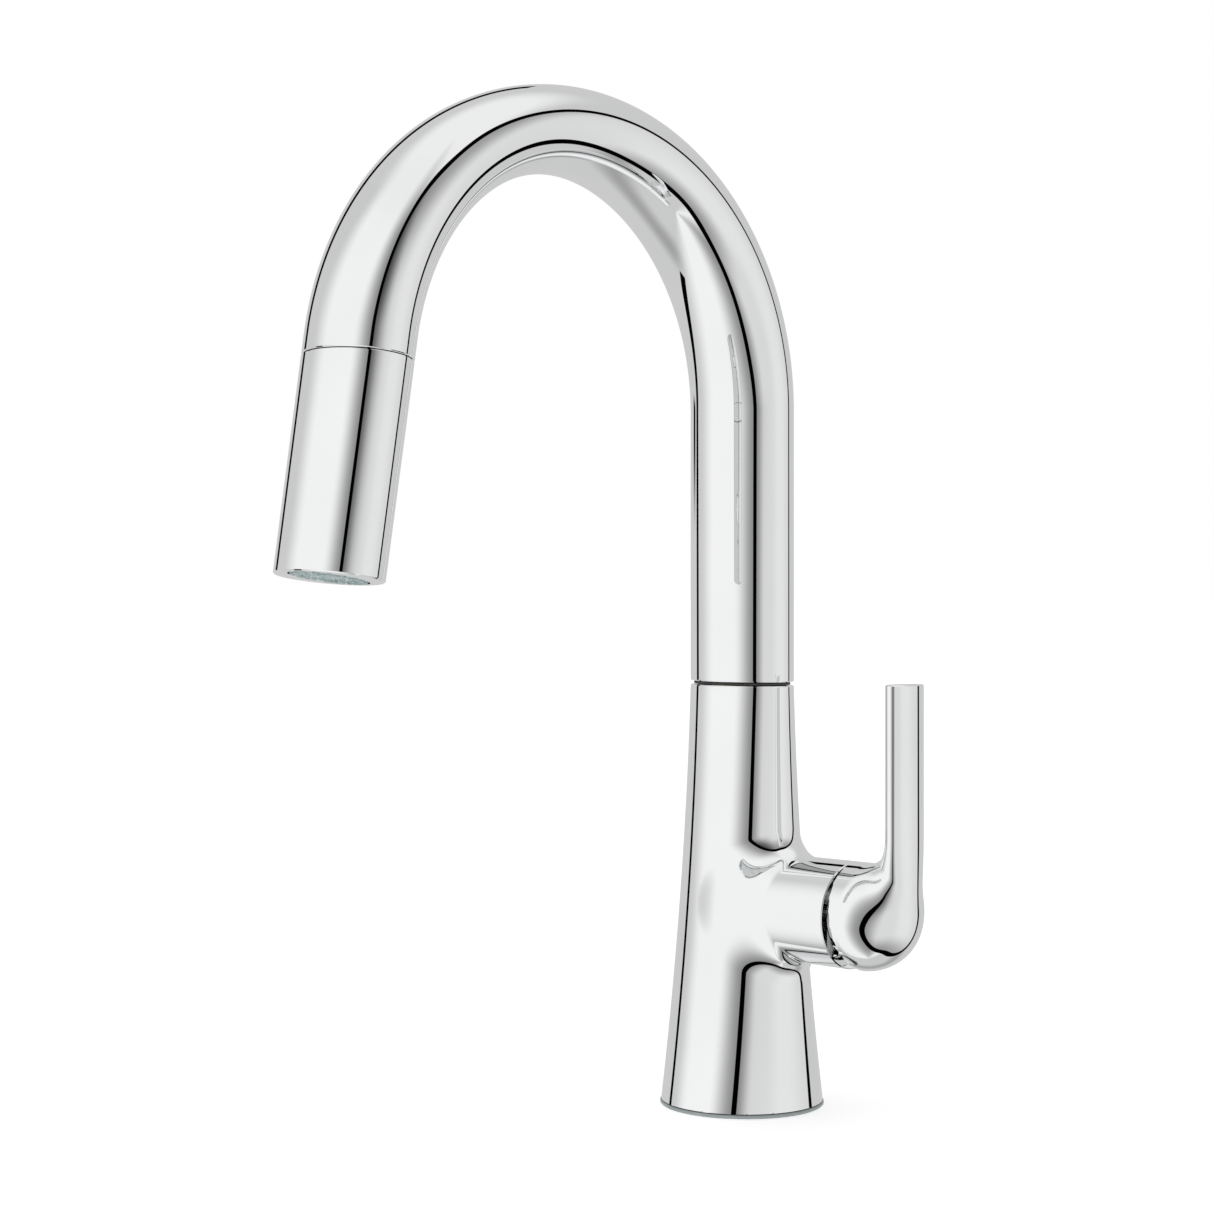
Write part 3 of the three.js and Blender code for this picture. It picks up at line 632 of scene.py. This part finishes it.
def shade_by_field(mesh, field, degrees=20):
    """Gives the faces that lie along the field its exact normals, and the others their own."""
    points = vertex_array(mesh)
    slopes = gradient(field, points)
    slopes /= np.maximum(np.linalg.norm(slopes, axis=1), TINY)[:, None]
    mesh.shade_smooth()
    limit = math.cos(math.radians(degrees))
    normals = []
    for polygon in mesh.polygons:
        own = np.array(polygon.normal)
        corners = slopes[list(polygon.vertices)]
        smooth = (corners @ own > limit).all()
        normals.extend(tuple(c) if smooth else tuple(own) for c in corners)
    mesh.normals_split_custom_set(normals)


def field_skin(name, field, rough_parts, voxel, ends):
    """A smooth skin on a field's surface, trimmed at each end (at, outward, lip, depth)."""
    mesh = remeshed(name, rough_parts, voxel)
    points = settle(field, vertex_array(mesh))
    mesh.vertices.foreach_set("co", points.reshape(-1))
    skin = bmesh.new()
    skin.from_mesh(mesh)
    for end in ends:
        trim_end(skin, field, *end)
    bmesh.ops.recalc_face_normals(skin, faces=skin.faces)
    skin.to_mesh(mesh)
    skin.free()
    shade_by_field(mesh, field)
    return mesh


def oval_loft(name, sections, around=48):
    """A closed rough solid through ovals given as (centre, first half-axis, second half-axis)."""
    first, second = ellipse(1, 1, around)
    rings = [
        np.array(c) + first[:, None] * np.array(u) + second[:, None] * np.array(v) for c, u, v in sections
    ]
    return grid_mesh(name, rings, True, True)


BEYOND = 4 * MM                 # how far a rough shape runs past the plane that trims it
BODY_VOXEL = 1.2 * MM
HANDLE_VOXEL = 0.8 * MM


def make_body():
    trunk = []
    for z in np.linspace(BODY_BOTTOM_Z - BEYOND, BODY_TOP_Z + BEYOND, 40):
        wide, deep = body_half_axes(float(z))
        trunk.append(((0, 0, z), (wide, 0, 0), (0, deep, 0)))
    boss_start = 5 * MM
    boss = [
        ((x, 0, HUB_Z), (0, BOSS_RADIUS, 0), (0, 0, BOSS_RADIUS)) for x in (boss_start, BOSS_END_X + BEYOND)
    ]
    foot_lip, foot_depth = 4 * MM, 4 * MM
    top_lip, top_depth = 3 * MM, 2 * MM
    boss_lip, boss_depth = BOSS_RADIUS - BOSS_BORE - EDGE, 6 * MM
    ends = [
        ((0, 0, BODY_BOTTOM_Z), (0, 0, -1), foot_lip, foot_depth),
        ((0, 0, BODY_TOP_Z), (0, 0, 1), top_lip, top_depth),
        ((BOSS_END_X, 0, HUB_Z), (1, 0, 0), boss_lip, boss_depth),
    ]
    rough_parts = [oval_loft("trunk", trunk), oval_loft("boss", boss)]
    mesh = field_skin("body_skin", body_field, rough_parts, BODY_VOXEL, ends)
    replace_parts(new_object("body_skin", mesh, "base", "chrome"), "body_shell")


def make_handle():
    grip = [((RIM_TOP_X - BEYOND, 0, HUB_Z), (0, 0, -BOSS_RADIUS), (0, BOSS_RADIUS, 0))]
    for angle in np.linspace(math.pi / 2, 0, 40):
        outside, half_wide = (float(part) for part in bend_section(angle))
        outward = Vector((math.cos(angle), 0, -math.sin(angle)))
        centre = Vector((BEND_X, 0, BEND_Z)) + outward * (outside + BEND_INSIDE) / 2
        grip.append((centre, outward * (outside - BEND_INSIDE) / 2, (0, half_wide, 0)))
    top = (LEVER_X, 0, LEVER_TOP_Z + BEYOND)
    grip.append((top, (LEVER_HALF_THICK, 0, 0), (0, LEVER_HALF_WIDE, 0)))
    lean = math.atan((RIM_BOTTOM_X - RIM_TOP_X) / (2 * BOSS_RADIUS))
    rim_middle = ((RIM_TOP_X + RIM_BOTTOM_X) / 2, 0, HUB_Z)
    rim_lip, rim_depth = 2.4 * MM, 3 * MM
    ends = [
        (rim_middle, (-math.cos(lean), 0, -math.sin(lean)), rim_lip, rim_depth),
        ((LEVER_X, 0, LEVER_TOP_Z), (0, 0, 1), None, 0),
    ]
    mesh = field_skin("handle_skin", handle_field, [oval_loft("grip", grip)], HANDLE_VOXEL, ends)
    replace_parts(new_object("handle_skin", mesh, "handle", "chrome"), "handle")


# ---------- spout and spray head ----------

AROUND = 160                    # points round the spout's and the head's ovals
SEAM_GAP = 0.3 * MM


def oval_rings(stations):
    """Rings at (distance, inset) stations along the spout."""
    rings = []
    for distance, inset in stations:
        centre, _, outward = spout_frame(distance)
        wide, deep = ellipse(HALF_WIDE - inset, HALF_DEEP - inset, AROUND)
        across = wide[:, None] * np.array((1, 0, 0)) + deep[:, None] * np.array(outward)
        rings.append(np.array(centre) + across)
    return rings


def make_spout():
    lip = 6 * MM
    stations = [(lip, TUBE_WALL), (0, TUBE_WALL), (0, EDGE), (EDGE, 0)]
    stations += [(float(d), 0) for d in np.linspace(2 * EDGE, SPOUT_LENGTH - 2 * EDGE, 260)]
    stations += [(SPOUT_LENGTH - EDGE, 0), (SPOUT_LENGTH, EDGE)]
    stations += [(SPOUT_LENGTH, TUBE_WALL), (SPOUT_LENGTH - lip, TUBE_WALL)]
    mesh = grid_mesh("spout_skin", oval_rings(stations))
    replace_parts(new_object("spout_skin", mesh, "spout", "chrome"), "spout_tube")


def make_head():
    lip, wall = 4 * MM, 4 * MM
    rings = []

    def ring(depth, inset):
        scale = 1 + (HEAD_END_SCALE - 1) * depth / HEAD_LENGTH
        rings.append(flat_ring(HALF_WIDE * scale - inset, HALF_DEEP * scale - inset, -depth, AROUND))

    ring(wall, lip)
    ring(SEAM_GAP, lip)
    ring(SEAM_GAP, EDGE)
    for depth in np.linspace(SEAM_GAP + EDGE, HEAD_LENGTH - EDGE, 60):
        ring(float(depth), 0)
    ring(HEAD_LENGTH, EDGE)
    for depth in (HEAD_LENGTH, HEAD_LENGTH - wall):
        rings.append(flat_ring(SPRAY_OPENING, SPRAY_OPENING, -depth, AROUND))
    mesh = grid_mesh("head_skin", rings)
    mesh.transform(OUTLET)
    shade_by_field(mesh, head_field)
    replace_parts(new_object("head_skin", mesh, "spray_head", "chrome"), "head_shell")


# ---------- rocker ----------

ROCKER_PLACE = OUTLET @ frame_matrix(
    Vector((0, 0, -ROCKER_DEPTH)), Vector((1, 0, 0)), Vector((0, 0, -1)), Vector((0, 1, 0))
)


def stacked(name, levels, filled):
    """A solid or a frame through rounded rectangles (half width, half length, corner, height)."""
    rings = []
    for half_width, half_length, corner, height in levels:
        outline = rounded_box_outline(half_width, half_length, corner)
        heights = height(outline[:, 1]) if callable(height) else np.full(len(outline), height)
        rings.append(np.column_stack([outline, heights]))
    mesh = grid_mesh(name, rings, filled, filled, loop=not filled)
    mesh.transform(ROCKER_PLACE)
    return mesh


def make_rocker():
    half_width, half_length, corner = 6.2 * MM, 6.4 * MM, 2 * MM
    foot, shoulder, rim, crown = 11.4 * MM, 16.6 * MM, 17.0 * MM, 17.6 * MM
    hollow = 0.9 * MM

    def saddle(lift):
        """The top is hollowed along its length, so that a thumb finds either end."""
        return lambda along: lift + hollow * (along / half_length) ** 2

    levels = [
        (half_width, half_length, corner, foot),
        (half_width, half_length, corner, shoulder),
        (half_width - 0.3 * MM, half_length - 0.3 * MM, corner, saddle(rim)),
        (half_width - 1.2 * MM, half_length - 1.0 * MM, corner - 0.5 * MM, saddle(crown - 0.1 * MM)),
        (half_width - 3 * MM, half_length - 3 * MM, 1 * MM, saddle(crown)),
        (1 * MM, 1 * MM, 0.5 * MM, saddle(crown)),
    ]
    mesh = stacked("rocker_skin", levels, True)
    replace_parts(new_object("rocker_skin", mesh, "rocker", "chrome"), "mode_rocker")


def make_bezel():
    wide, long, corner = 8.9 * MM, 7.9 * MM, 2.6 * MM
    hole_wide, hole_long, hole_corner = 6.6 * MM, 6.8 * MM, 2 * MM
    base, top = 13.6 * MM, 17.1 * MM
    levels = [
        (wide, long, corner, base),
        (wide, long, corner, top - 1.4 * MM),
        (wide - 0.35 * MM, long - 0.35 * MM, corner - 0.1 * MM, top - 0.5 * MM),
        (wide - 1.2 * MM, long - 0.7 * MM, corner - 0.3 * MM, top),
        (hole_wide + 0.2 * MM, hole_long + 0.2 * MM, hole_corner + 0.1 * MM, top),
        (hole_wide, hole_long, hole_corner, top - 0.3 * MM),
        (hole_wide, hole_long, hole_corner, base),
    ]
    mesh = stacked("bezel_skin", levels, False)
    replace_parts(new_object("bezel_skin", mesh, "spray_head", "chrome"), "rocker_bezel")


# ---------- spray face ----------

FACE_DEPTH = HEAD_LENGTH - 0.8 * MM
NOZZLE_RINGS = ((14, 11.4 * MM), (8, 8.2 * MM))      # count and radius of each ring
AERATOR_RADIUS = 5.7 * MM


def make_spray_face():
    inner, outer, back = 6 * MM, SPRAY_OPENING - 0.5 * MM, -71.3 * MM
    plate_profile = washer_profile(inner, outer, -FACE_DEPTH, back, 0.5 * MM)
    parts = [turned("plate", plate_profile, closed=True)]
    tip = 1.2 * MM
    profile = [
        (1.3 * MM, 0.4 * MM), (1.15 * MM, 0), (0.95 * MM, -0.25 * MM), (0.85 * MM, -tip + 0.2 * MM),
        (0.68 * MM, -tip), (0.36 * MM, -tip), (0.32 * MM, -tip + 0.4 * MM),
    ]
    for count, radius in NOZZLE_RINGS:
        for i in range(count):
            angle = 2 * math.pi * (i + 0.5) / count
            place = Matrix.Translation((radius * math.cos(angle), radius * math.sin(angle), -FACE_DEPTH))
            parts.append(turned("nozzle", profile, place, sides=20))
    mesh = joined("spray_face_skin", parts)
    mesh.transform(OUTLET)
    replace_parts(new_object("spray_face_skin", mesh, "spray_head", "pale_plastic"), "spray_face")


def make_aerator():
    """A cup with a honeycomb of stream holes drawn as small raised rings."""
    mouth, floor, back = -75.3 * MM, -74.5 * MM, -70.5 * MM
    rim_outer, rim_inner, bore = AERATOR_RADIUS - 0.3 * MM, 4.8 * MM, 4.6 * MM
    cup = turned("cup", [
        (AERATOR_RADIUS, back), (AERATOR_RADIUS, mouth + 0.3 * MM), (rim_outer, mouth),
        (rim_inner, mouth), (bore, mouth + 0.2 * MM), (bore, floor),
    ], sides=64)
    parts = [cup]
    pitch, reach = 1.25 * MM, 4 * MM
    cell = washer_profile(0.34 * MM, 0.56 * MM, floor - 0.4 * MM, floor + 0.1 * MM, 0.06 * MM)
    for row in range(-3, 4):
        for column in range(-3, 4):
            x = (column + 0.5 * (row % 2)) * pitch
            y = row * pitch * math.sqrt(3) / 2
            if math.hypot(x, y) < reach:
                parts.append(turned("cell", cell, Matrix.Translation((x, y, 0)), sides=12, closed=True))
    mesh = joined("aerator_skin", parts)
    mesh.transform(OUTLET)
    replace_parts(new_object("aerator_skin", mesh, "spray_head", "pale_plastic"), "aerator")


# ---------- trim between the shells ----------


def make_gasket():
    inner, edge = 17 * MM, 0.35 * MM
    profile = washer_profile(inner, GASKET_HIGH.x, 0, GASKET_HIGH.z, edge)
    mesh = turned("gasket_skin", profile, sides=128, closed=True)
    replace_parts(new_object("gasket_skin", mesh, "base", "gasket"), "base_gasket")


def make_swivel_ring():
    around = 128
    hole, edge = 12.3 * MM, 0.2 * MM
    low, high = RING_LOW.z, RING_HIGH.z
    rings = [flat_ring(hole, hole, low, around)]
    for inset, z in ((edge, low), (0, low + edge), (0, high - edge), (edge, high)):
        rings.append(flat_ring(RING_HIGH.x - inset, RING_HIGH.y - inset, z, around))
    rings.append(flat_ring(hole, hole, high, around))
    mesh = grid_mesh("swivel_ring_skin", rings, loop=True)
    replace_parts(new_object("swivel_ring_skin", mesh, "base", "rubber"), "swivel_ring")


def make_bonnet():
    """The domed trim over the cartridge. Its dome is centred on the lever's pivot."""
    dome, wall, hole = 20 * MM, 1.4 * MM, 10 * MM
    inside = dome - wall
    skirt = BOSS_BORE - 0.3 * MM
    skirt_start, skirt_end = 50 * MM, BOSS_END_X - 0.4 * MM
    profile = [(skirt, skirt_start), (skirt, skirt_end)]
    outer_span = (math.acos((skirt_end - PIVOT_X) / dome), math.asin(hole / dome))
    inner_span = (math.asin(hole / inside), math.asin((skirt - wall) / inside))
    for radius, span in ((dome, outer_span), (inside, inner_span)):
        for angle in np.linspace(*span, 14):
            profile.append((radius * math.sin(angle), PIVOT_X + radius * math.cos(angle)))
    profile.append((skirt - wall, skirt_start))
    mesh = turned("bonnet_skin", profile, HUB, sides=128, closed=True)
    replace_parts(new_object("bonnet_skin", mesh, "base", "chrome"), "bonnet_cap")


# ---------- hose ----------

HOSE_STRETCH_START = 12 * MM    # above the seam, inside the spout
HOSE_CLEAR = 0.05 * MM          # how much thinner the stretch is than the hose it comes out of


def hose_rings(points, directions, radius):
    rings = []
    for point, along in zip(points, directions):
        side = Vector((1, 0, 0))
        across = along.cross(side)
        first, second = ellipse(radius, radius, 40)
        rings.append(np.array(point) + first[:, None] * np.array(side) + second[:, None] * np.array(across))
    return rings


def make_hose():
    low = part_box("hose_upper")[0].z
    below = SPOUT_BOTTOM_Z - low
    points, directions = [], []
    for distance in np.linspace(-below, SPOUT_LENGTH - HOSE_STRETCH_START, 150):
        centre, along, _ = spout_frame(max(distance, 0))
        points.append(centre + along * min(distance, 0))
        directions.append(along)
    mesh = grid_mesh("hose_skin", hose_rings(points, directions, HOSE_RADIUS), True, True)
    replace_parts(new_object("hose_skin", mesh, "spout", "hose"), "hose_upper")


def make_pulled_hose():
    """The stretch of hose at the spout's mouth, running down to the spray head."""
    start = SEAM - DOWN_OUTLET * HOSE_STRETCH_START
    end = SEAM + DOWN_OUTLET * SEAM_GAP
    points = [start.lerp(end, float(t)) for t in np.linspace(0, 1, 90)]
    directions = [DOWN_OUTLET] * len(points)
    rings = hose_rings(points, directions, HOSE_RADIUS - HOSE_CLEAR)
    mesh = grid_mesh("hose_at_mouth", rings, True, True)
    piece = new_object("hose_at_mouth", mesh, None, "hose")
    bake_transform(piece)


# ---------- under the deck ----------


def threaded(name, inner, outer, low, high, pitch, depth, sides=64):
    """A threaded sleeve: its outside rises and falls along a helix."""
    steps = max(int((high - low) / pitch * 6), 8)
    angle = np.linspace(0, 2 * np.pi, sides, endpoint=False)
    rings = [flat_ring(inner, inner, z, sides) for z in (high, low)]
    for z in np.linspace(low, high, steps):
        wave = 0.5 - 0.5 * np.cos(2 * np.pi * z / pitch - angle)
        radius = outer - depth * (1 - wave)
        rings.append(np.stack([radius * np.cos(angle), radius * np.sin(angle), np.full(sides, z)], axis=1))
    mesh = grid_mesh(name, rings, loop=True)
    crisp(mesh, 50)
    return mesh


def make_shank():
    low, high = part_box("mounting_shank")
    bore, pitch, depth = 13.4 * MM, 2 * MM, 0.9 * MM
    mesh = threaded("shank_skin", bore, high.x, low.z, high.z, pitch, depth)
    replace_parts(new_object("shank_skin", mesh, "base", "brass"), "mounting_shank")


def make_washer(node, slot, edge):
    low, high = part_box(node)
    inner = 17 * MM
    mesh = turned(node + "_skin", washer_profile(inner, high.y, low.z, high.z, edge), closed=True)
    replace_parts(new_object(node + "_skin", mesh, "base", slot), node)


def make_jack_screw(node):
    low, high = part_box(node)
    place = Matrix.Translation(((low.x + high.x) / 2, 0, 0))
    cap_radius, cap_top, shaft = 4 * MM, low.z + 4 * MM, 2.5 * MM
    core, pitch, depth = 0.5 * MM, 0.8 * MM, 0.4 * MM
    cap = turned("cap", [
        (cap_radius - 0.5 * MM, low.z), (cap_radius, low.z + 0.5 * MM),
        (cap_radius, cap_top - 0.3 * MM), (cap_radius - 0.3 * MM, cap_top),
    ], place, sides=48)
    thread = threaded("thread", core, shaft, cap_top, high.z, pitch, depth, 32)
    thread.transform(place)
    mesh = joined(node + "_skin", [cap, thread])
    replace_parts(new_object(node + "_skin", mesh, "base", "steel"), node)


def make_copper_tube(node):
    low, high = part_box(node)
    place = Matrix.Translation(((low.x + high.x) / 2, (low.y + high.y) / 2, 0))
    inner, outer, edge = 2.2 * MM, 3.2 * MM, 0.3 * MM
    mesh = turned(node + "_skin", washer_profile(inner, outer, low.z, high.z, edge), place, 48, True)
    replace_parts(new_object(node + "_skin", mesh, "base", "copper"), node)


def make_clamp():
    make_shank()
    make_washer("rubber_washer", "rubber", 0.8 * MM)
    make_washer("steel_washer", "steel", 0.3 * MM)
    for node in ("jack_screw_1", "jack_screw_2"):
        make_jack_screw(node)
    for node in ("hot_tube", "cold_tube", "outlet_tube"):
        make_copper_tube(node)


# ---------- finishes of the CAD pieces that stay ----------


def finish_kept_nodes():
    slots = {part["node"]: part["material_slot"] for part in frame["record"]["subparts"]}
    for name, node in frame["nodes"].items():
        node.data.materials.clear()
        node.data.materials.append(MATERIALS[slots[name]])


# ---------- studio ----------
# A white room with one wide, softly lit panel on the right, edged with a thin black frame, and the
# dark edges of a smaller panel on the left. Angles are in degrees; azimuth is measured to the right
# of the direction in which the camera stands, and the world stays put when other cameras look on.

PANEL_AZIMUTH = 46.5
PANEL_HALF_WIDTH = 62.5
PANEL_LEAN = 0.2              # how much narrower the panel gets per degree of height
PANEL_HEIGHT = -4.5
PANEL_HALF_HEIGHT = 64.0
PANEL_SQUARENESS = 3.2
FRAME_INSIDE = 0.945
FRAME_OUTSIDE = 1.05
LEFT_EDGE_AZIMUTH = -126.3
LEFT_EDGE_LEAN = 0.3
LEFT_EDGE_HALF_WIDTH = 3.0
LEFT_EDGE_FOOT = -43.0
LEFT_EDGE_BLUR = 0.6
LEFT_EDGE_FOOT_BLUR = 1.5
SMALL_PANEL_HALF_WIDTH = 41.0
SMALL_PANEL_HALF_HEIGHT = 34.0
SMALL_PANEL_SQUARENESS = 2.6
SMALL_FRAME_INSIDE = 0.91
SMALL_FRAME_OUTSIDE = 1.09
SMALL_FRAME_BLUR = 0.02
FRAME_BLUR = 0.012
FRAME_LEVEL = 0.025
DISPLAY_GAMMA = 2.2
BACKDROP = (1, 1, 1, 1)

# Each step below is the argument of Value.between: where it starts and ends, then its two levels.
# Levels are those of the display. The panel's steps are in its half widths and half heights.
ROOM_LEFT_RISE = (-118.0, -88.0, 0.80, 0.965)
ROOM_RIGHT_FALL = (30.0, 60.0, 0.0, 0.17)
ROOM_TOP_SHARE = (45.0, 65.0, 0.0, 1.0)
ROOM_TOP_LEVEL = 0.94
BACK_SHARE = (100.0, 125.0, 0.0, 1.0)
LOW_DIP_HEIGHT = -52.0
LOW_DIP = (0.0, 15.0, 0.16, 0.0)
PANEL_SHADOW = (1.0, 1.62, 0.42, 0.0)
PANEL_SHADOW_SIDE = (-0.9, -0.2, 1.0, 0.0)
PANEL_SHADOW_TOP = (45.0, 70.0, 1.0, 0.4)
PANEL_LOW_SHIFT = (-60.0, -10.0, 8.0, 0.0)
PANEL_LEFT_RISE = (-1.0, -0.62, 0.55, 0.86)
PANEL_HIGH_LEFT_RISE = (-1.0, -0.25, 0.27, 0.85)
PANEL_HIGH_SHARE = (0.0, 0.6, 0.0, 1.0)
PANEL_CENTRE_RISE = (-0.35, 0.1, 0.0, 0.045)
PANEL_RIGHT_FALL = (0.3, 0.9, 0.0, 0.05)
PANEL_TOP_FADE = (0.35, 0.9, 1.0, 0.7)
PANEL_FOOT_FADE = (-1.0, -0.45, 0.67, 1.0)
PANEL_INSIDE = (0.99, 1.0, 1.0, 0.0)
LEFT_EDGE_TOP = (3.5, 6.5, 1.0, 0.0)
SMALL_FRAME_FOOT = (1.0, 4.0, 0.0, 1.0)
SMALL_FRAME_SIDE = (-40.0, -30.0, 1.0, 0.0)


class Value:
    """A number worked out by shader nodes."""

    def __init__(self, nodes, socket):
        self.nodes = nodes
        self.socket = socket

    def apply(self, operation, *others):
        node = self.nodes.add("ShaderNodeMath", operation=operation)
        for slot, other in zip(node.inputs, (self, *others)):
            if isinstance(other, Value):
                self.nodes.link(other.socket, slot)
            else:
                slot.default_value = other
        return Value(self.nodes, node.outputs["Value"])

    def __add__(self, other):
        return self.apply("ADD", other)

    def __sub__(self, other):
        return self.apply("SUBTRACT", other)

    def __mul__(self, other):
        return self.apply("MULTIPLY", other)

    def __truediv__(self, other):
        return self.apply("DIVIDE", other)

    def size(self):
        return self.apply("ABSOLUTE")

    def between(self, low, high, start, end):
        """Goes smoothly from start to end as this value goes from low to high."""
        remap = self.nodes.add("ShaderNodeMapRange", interpolation_type="SMOOTHSTEP")
        for name, level in (("From Min", low), ("From Max", high), ("To Min", start), ("To Max", end)):
            slot = remap.inputs[name]
            if isinstance(level, Value):
                self.nodes.link(level.socket, slot)
            else:
                slot.default_value = level
        self.nodes.link(self.socket, remap.inputs["Value"])
        return Value(self.nodes, remap.outputs["Result"])

    def toward(self, other, share):
        """This value where share is 0, and the other where it is 1."""
        return self + (other - self) * share


def superellipse(u, v, squareness):
    total = u.size().apply("POWER", squareness) + v.size().apply("POWER", squareness)
    return total.apply("POWER", 1 / squareness)


def inside_band(distance, low, high, blur):
    """1 where distance lies between low and high, 0 elsewhere."""
    rise = distance.between(low - blur, low, 0.0, 1.0)
    fall = distance.between(high, high + blur, 1.0, 0.0)
    return rise * fall


def studio_level(azimuth, height):
    """The room's grey level, as displayed, in a direction."""
    zero = azimuth * 0
    room = azimuth.between(*ROOM_LEFT_RISE) - azimuth.between(*ROOM_RIGHT_FALL)
    back = azimuth.size().between(*BACK_SHARE)
    room = room - back * (height - LOW_DIP_HEIGHT).size().between(*LOW_DIP)
    room = room.toward(zero + ROOM_TOP_LEVEL, height.between(*ROOM_TOP_SHARE))

    half_width = height * -PANEL_LEAN + PANEL_HALF_WIDTH
    u = (azimuth - PANEL_AZIMUTH - height.between(*PANEL_LOW_SHIFT)) / half_width
    v = (height - PANEL_HEIGHT) / PANEL_HALF_HEIGHT
    reach = superellipse(u, v, PANEL_SQUARENESS)
    shadow = reach.between(*PANEL_SHADOW) * u.between(*PANEL_SHADOW_SIDE)
    room = room - shadow * height.between(*PANEL_SHADOW_TOP)

    left_side = u.between(*PANEL_LEFT_RISE).toward(
        u.between(*PANEL_HIGH_LEFT_RISE), v.between(*PANEL_HIGH_SHARE)
    )
    panel = left_side + u.between(*PANEL_CENTRE_RISE) - u.between(*PANEL_RIGHT_FALL)
    panel = panel * v.between(*PANEL_TOP_FADE) * v.between(*PANEL_FOOT_FADE)
    level = room.toward(panel, reach.between(*PANEL_INSIDE))
    frame = inside_band(reach, FRAME_INSIDE, FRAME_OUTSIDE, FRAME_BLUR)
    level = level.toward(zero + FRAME_LEVEL, frame)

    left_edge = azimuth - (height * -LEFT_EDGE_LEAN + LEFT_EDGE_AZIMUTH)
    line = left_edge.size().between(LEFT_EDGE_HALF_WIDTH, LEFT_EDGE_HALF_WIDTH + LEFT_EDGE_BLUR, 1.0, 0.0)
    line = line * height.between(LEFT_EDGE_FOOT, LEFT_EDGE_FOOT + LEFT_EDGE_FOOT_BLUR, 0.0, 1.0)
    level = level.toward(zero + FRAME_LEVEL, line * height.between(*LEFT_EDGE_TOP))

    behind = zero + 180 - azimuth.size()
    small = superellipse(
        behind / SMALL_PANEL_HALF_WIDTH, height / SMALL_PANEL_HALF_HEIGHT, SMALL_PANEL_SQUARENESS
    )
    small_frame = inside_band(small, SMALL_FRAME_INSIDE, SMALL_FRAME_OUTSIDE, SMALL_FRAME_BLUR)
    small_frame = small_frame * height.between(*SMALL_FRAME_FOOT) * azimuth.between(*SMALL_FRAME_SIDE)
    return level.toward(zero + FRAME_LEVEL, small_frame)


def make_world():
    world = bpy.data.worlds.new("studio")
    world.use_nodes = True
    nodes = Nodes(world.node_tree)
    background = world.node_tree.nodes["Background"]
    direction = nodes.add("ShaderNodeTexCoord").outputs["Generated"]
    parts = []
    for axis in (CAMERA_RIGHT, TOWARD_CAMERA, Vector((0, 0, 1))):
        dot = nodes.add("ShaderNodeVectorMath", operation="DOT_PRODUCT")
        dot.inputs[1].default_value = axis
        nodes.link(direction, dot.inputs[0])
        parts.append(Value(nodes, dot.outputs["Value"]))
    right, front, up = parts
    azimuth = right.apply("ARCTAN2", front).apply("DEGREES")
    height = up.apply("ARCSINE").apply("DEGREES")
    light = studio_level(azimuth, height).apply("POWER", DISPLAY_GAMMA)
    seen = nodes.add("ShaderNodeLightPath").outputs["Is Camera Ray"]
    mix = nodes.add("ShaderNodeMix", data_type="RGBA")
    nodes.link(seen, mix.inputs["Factor"])
    nodes.link(light.socket, mix.inputs["A"])
    mix.inputs["B"].default_value = BACKDROP
    nodes.link(mix.outputs["Result"], background.inputs["Color"])
    bpy.context.scene.world = world


def make_floor():
    """A wide pale sheet that the chrome doesn't mirror."""
    reach = 20
    sheet = bmesh.new()
    bmesh.ops.create_grid(sheet, x_segments=8, y_segments=8, size=reach)
    mesh = bpy.data.meshes.new("floor")
    sheet.to_mesh(mesh)
    sheet.free()
    floor = bpy.data.objects.new("floor", mesh)
    floor.location.z = -0.05 * MM
    floor.visible_glossy = False
    bpy.context.scene.collection.objects.link(floor)
    material, nodes, shader = blank_material("pale_floor")
    patches = noise(nodes, object_place(nodes), 3)
    nodes.link(tinted(nodes, patches, (0.9, 0.9, 0.9), (0.92, 0.92, 0.92)), shader.inputs["Base Color"])
    shader.inputs["Roughness"].default_value = 0.9
    shader.inputs["Emission Color"].default_value = (1, 1, 1, 1)
    shader.inputs["Emission Strength"].default_value = 0.5
    mesh.materials.append(material)


# ---------- put together ----------

make_camera()
finish_kept_nodes()
make_body()
make_handle()
make_spout()
make_head()
make_rocker()
make_bezel()
make_spray_face()
make_aerator()
make_gasket()
make_swivel_ring()
make_bonnet()
make_hose()
make_pulled_hose()
make_clamp()
make_world()
make_floor()
bpy.context.scene.view_settings.view_transform = "Standard"
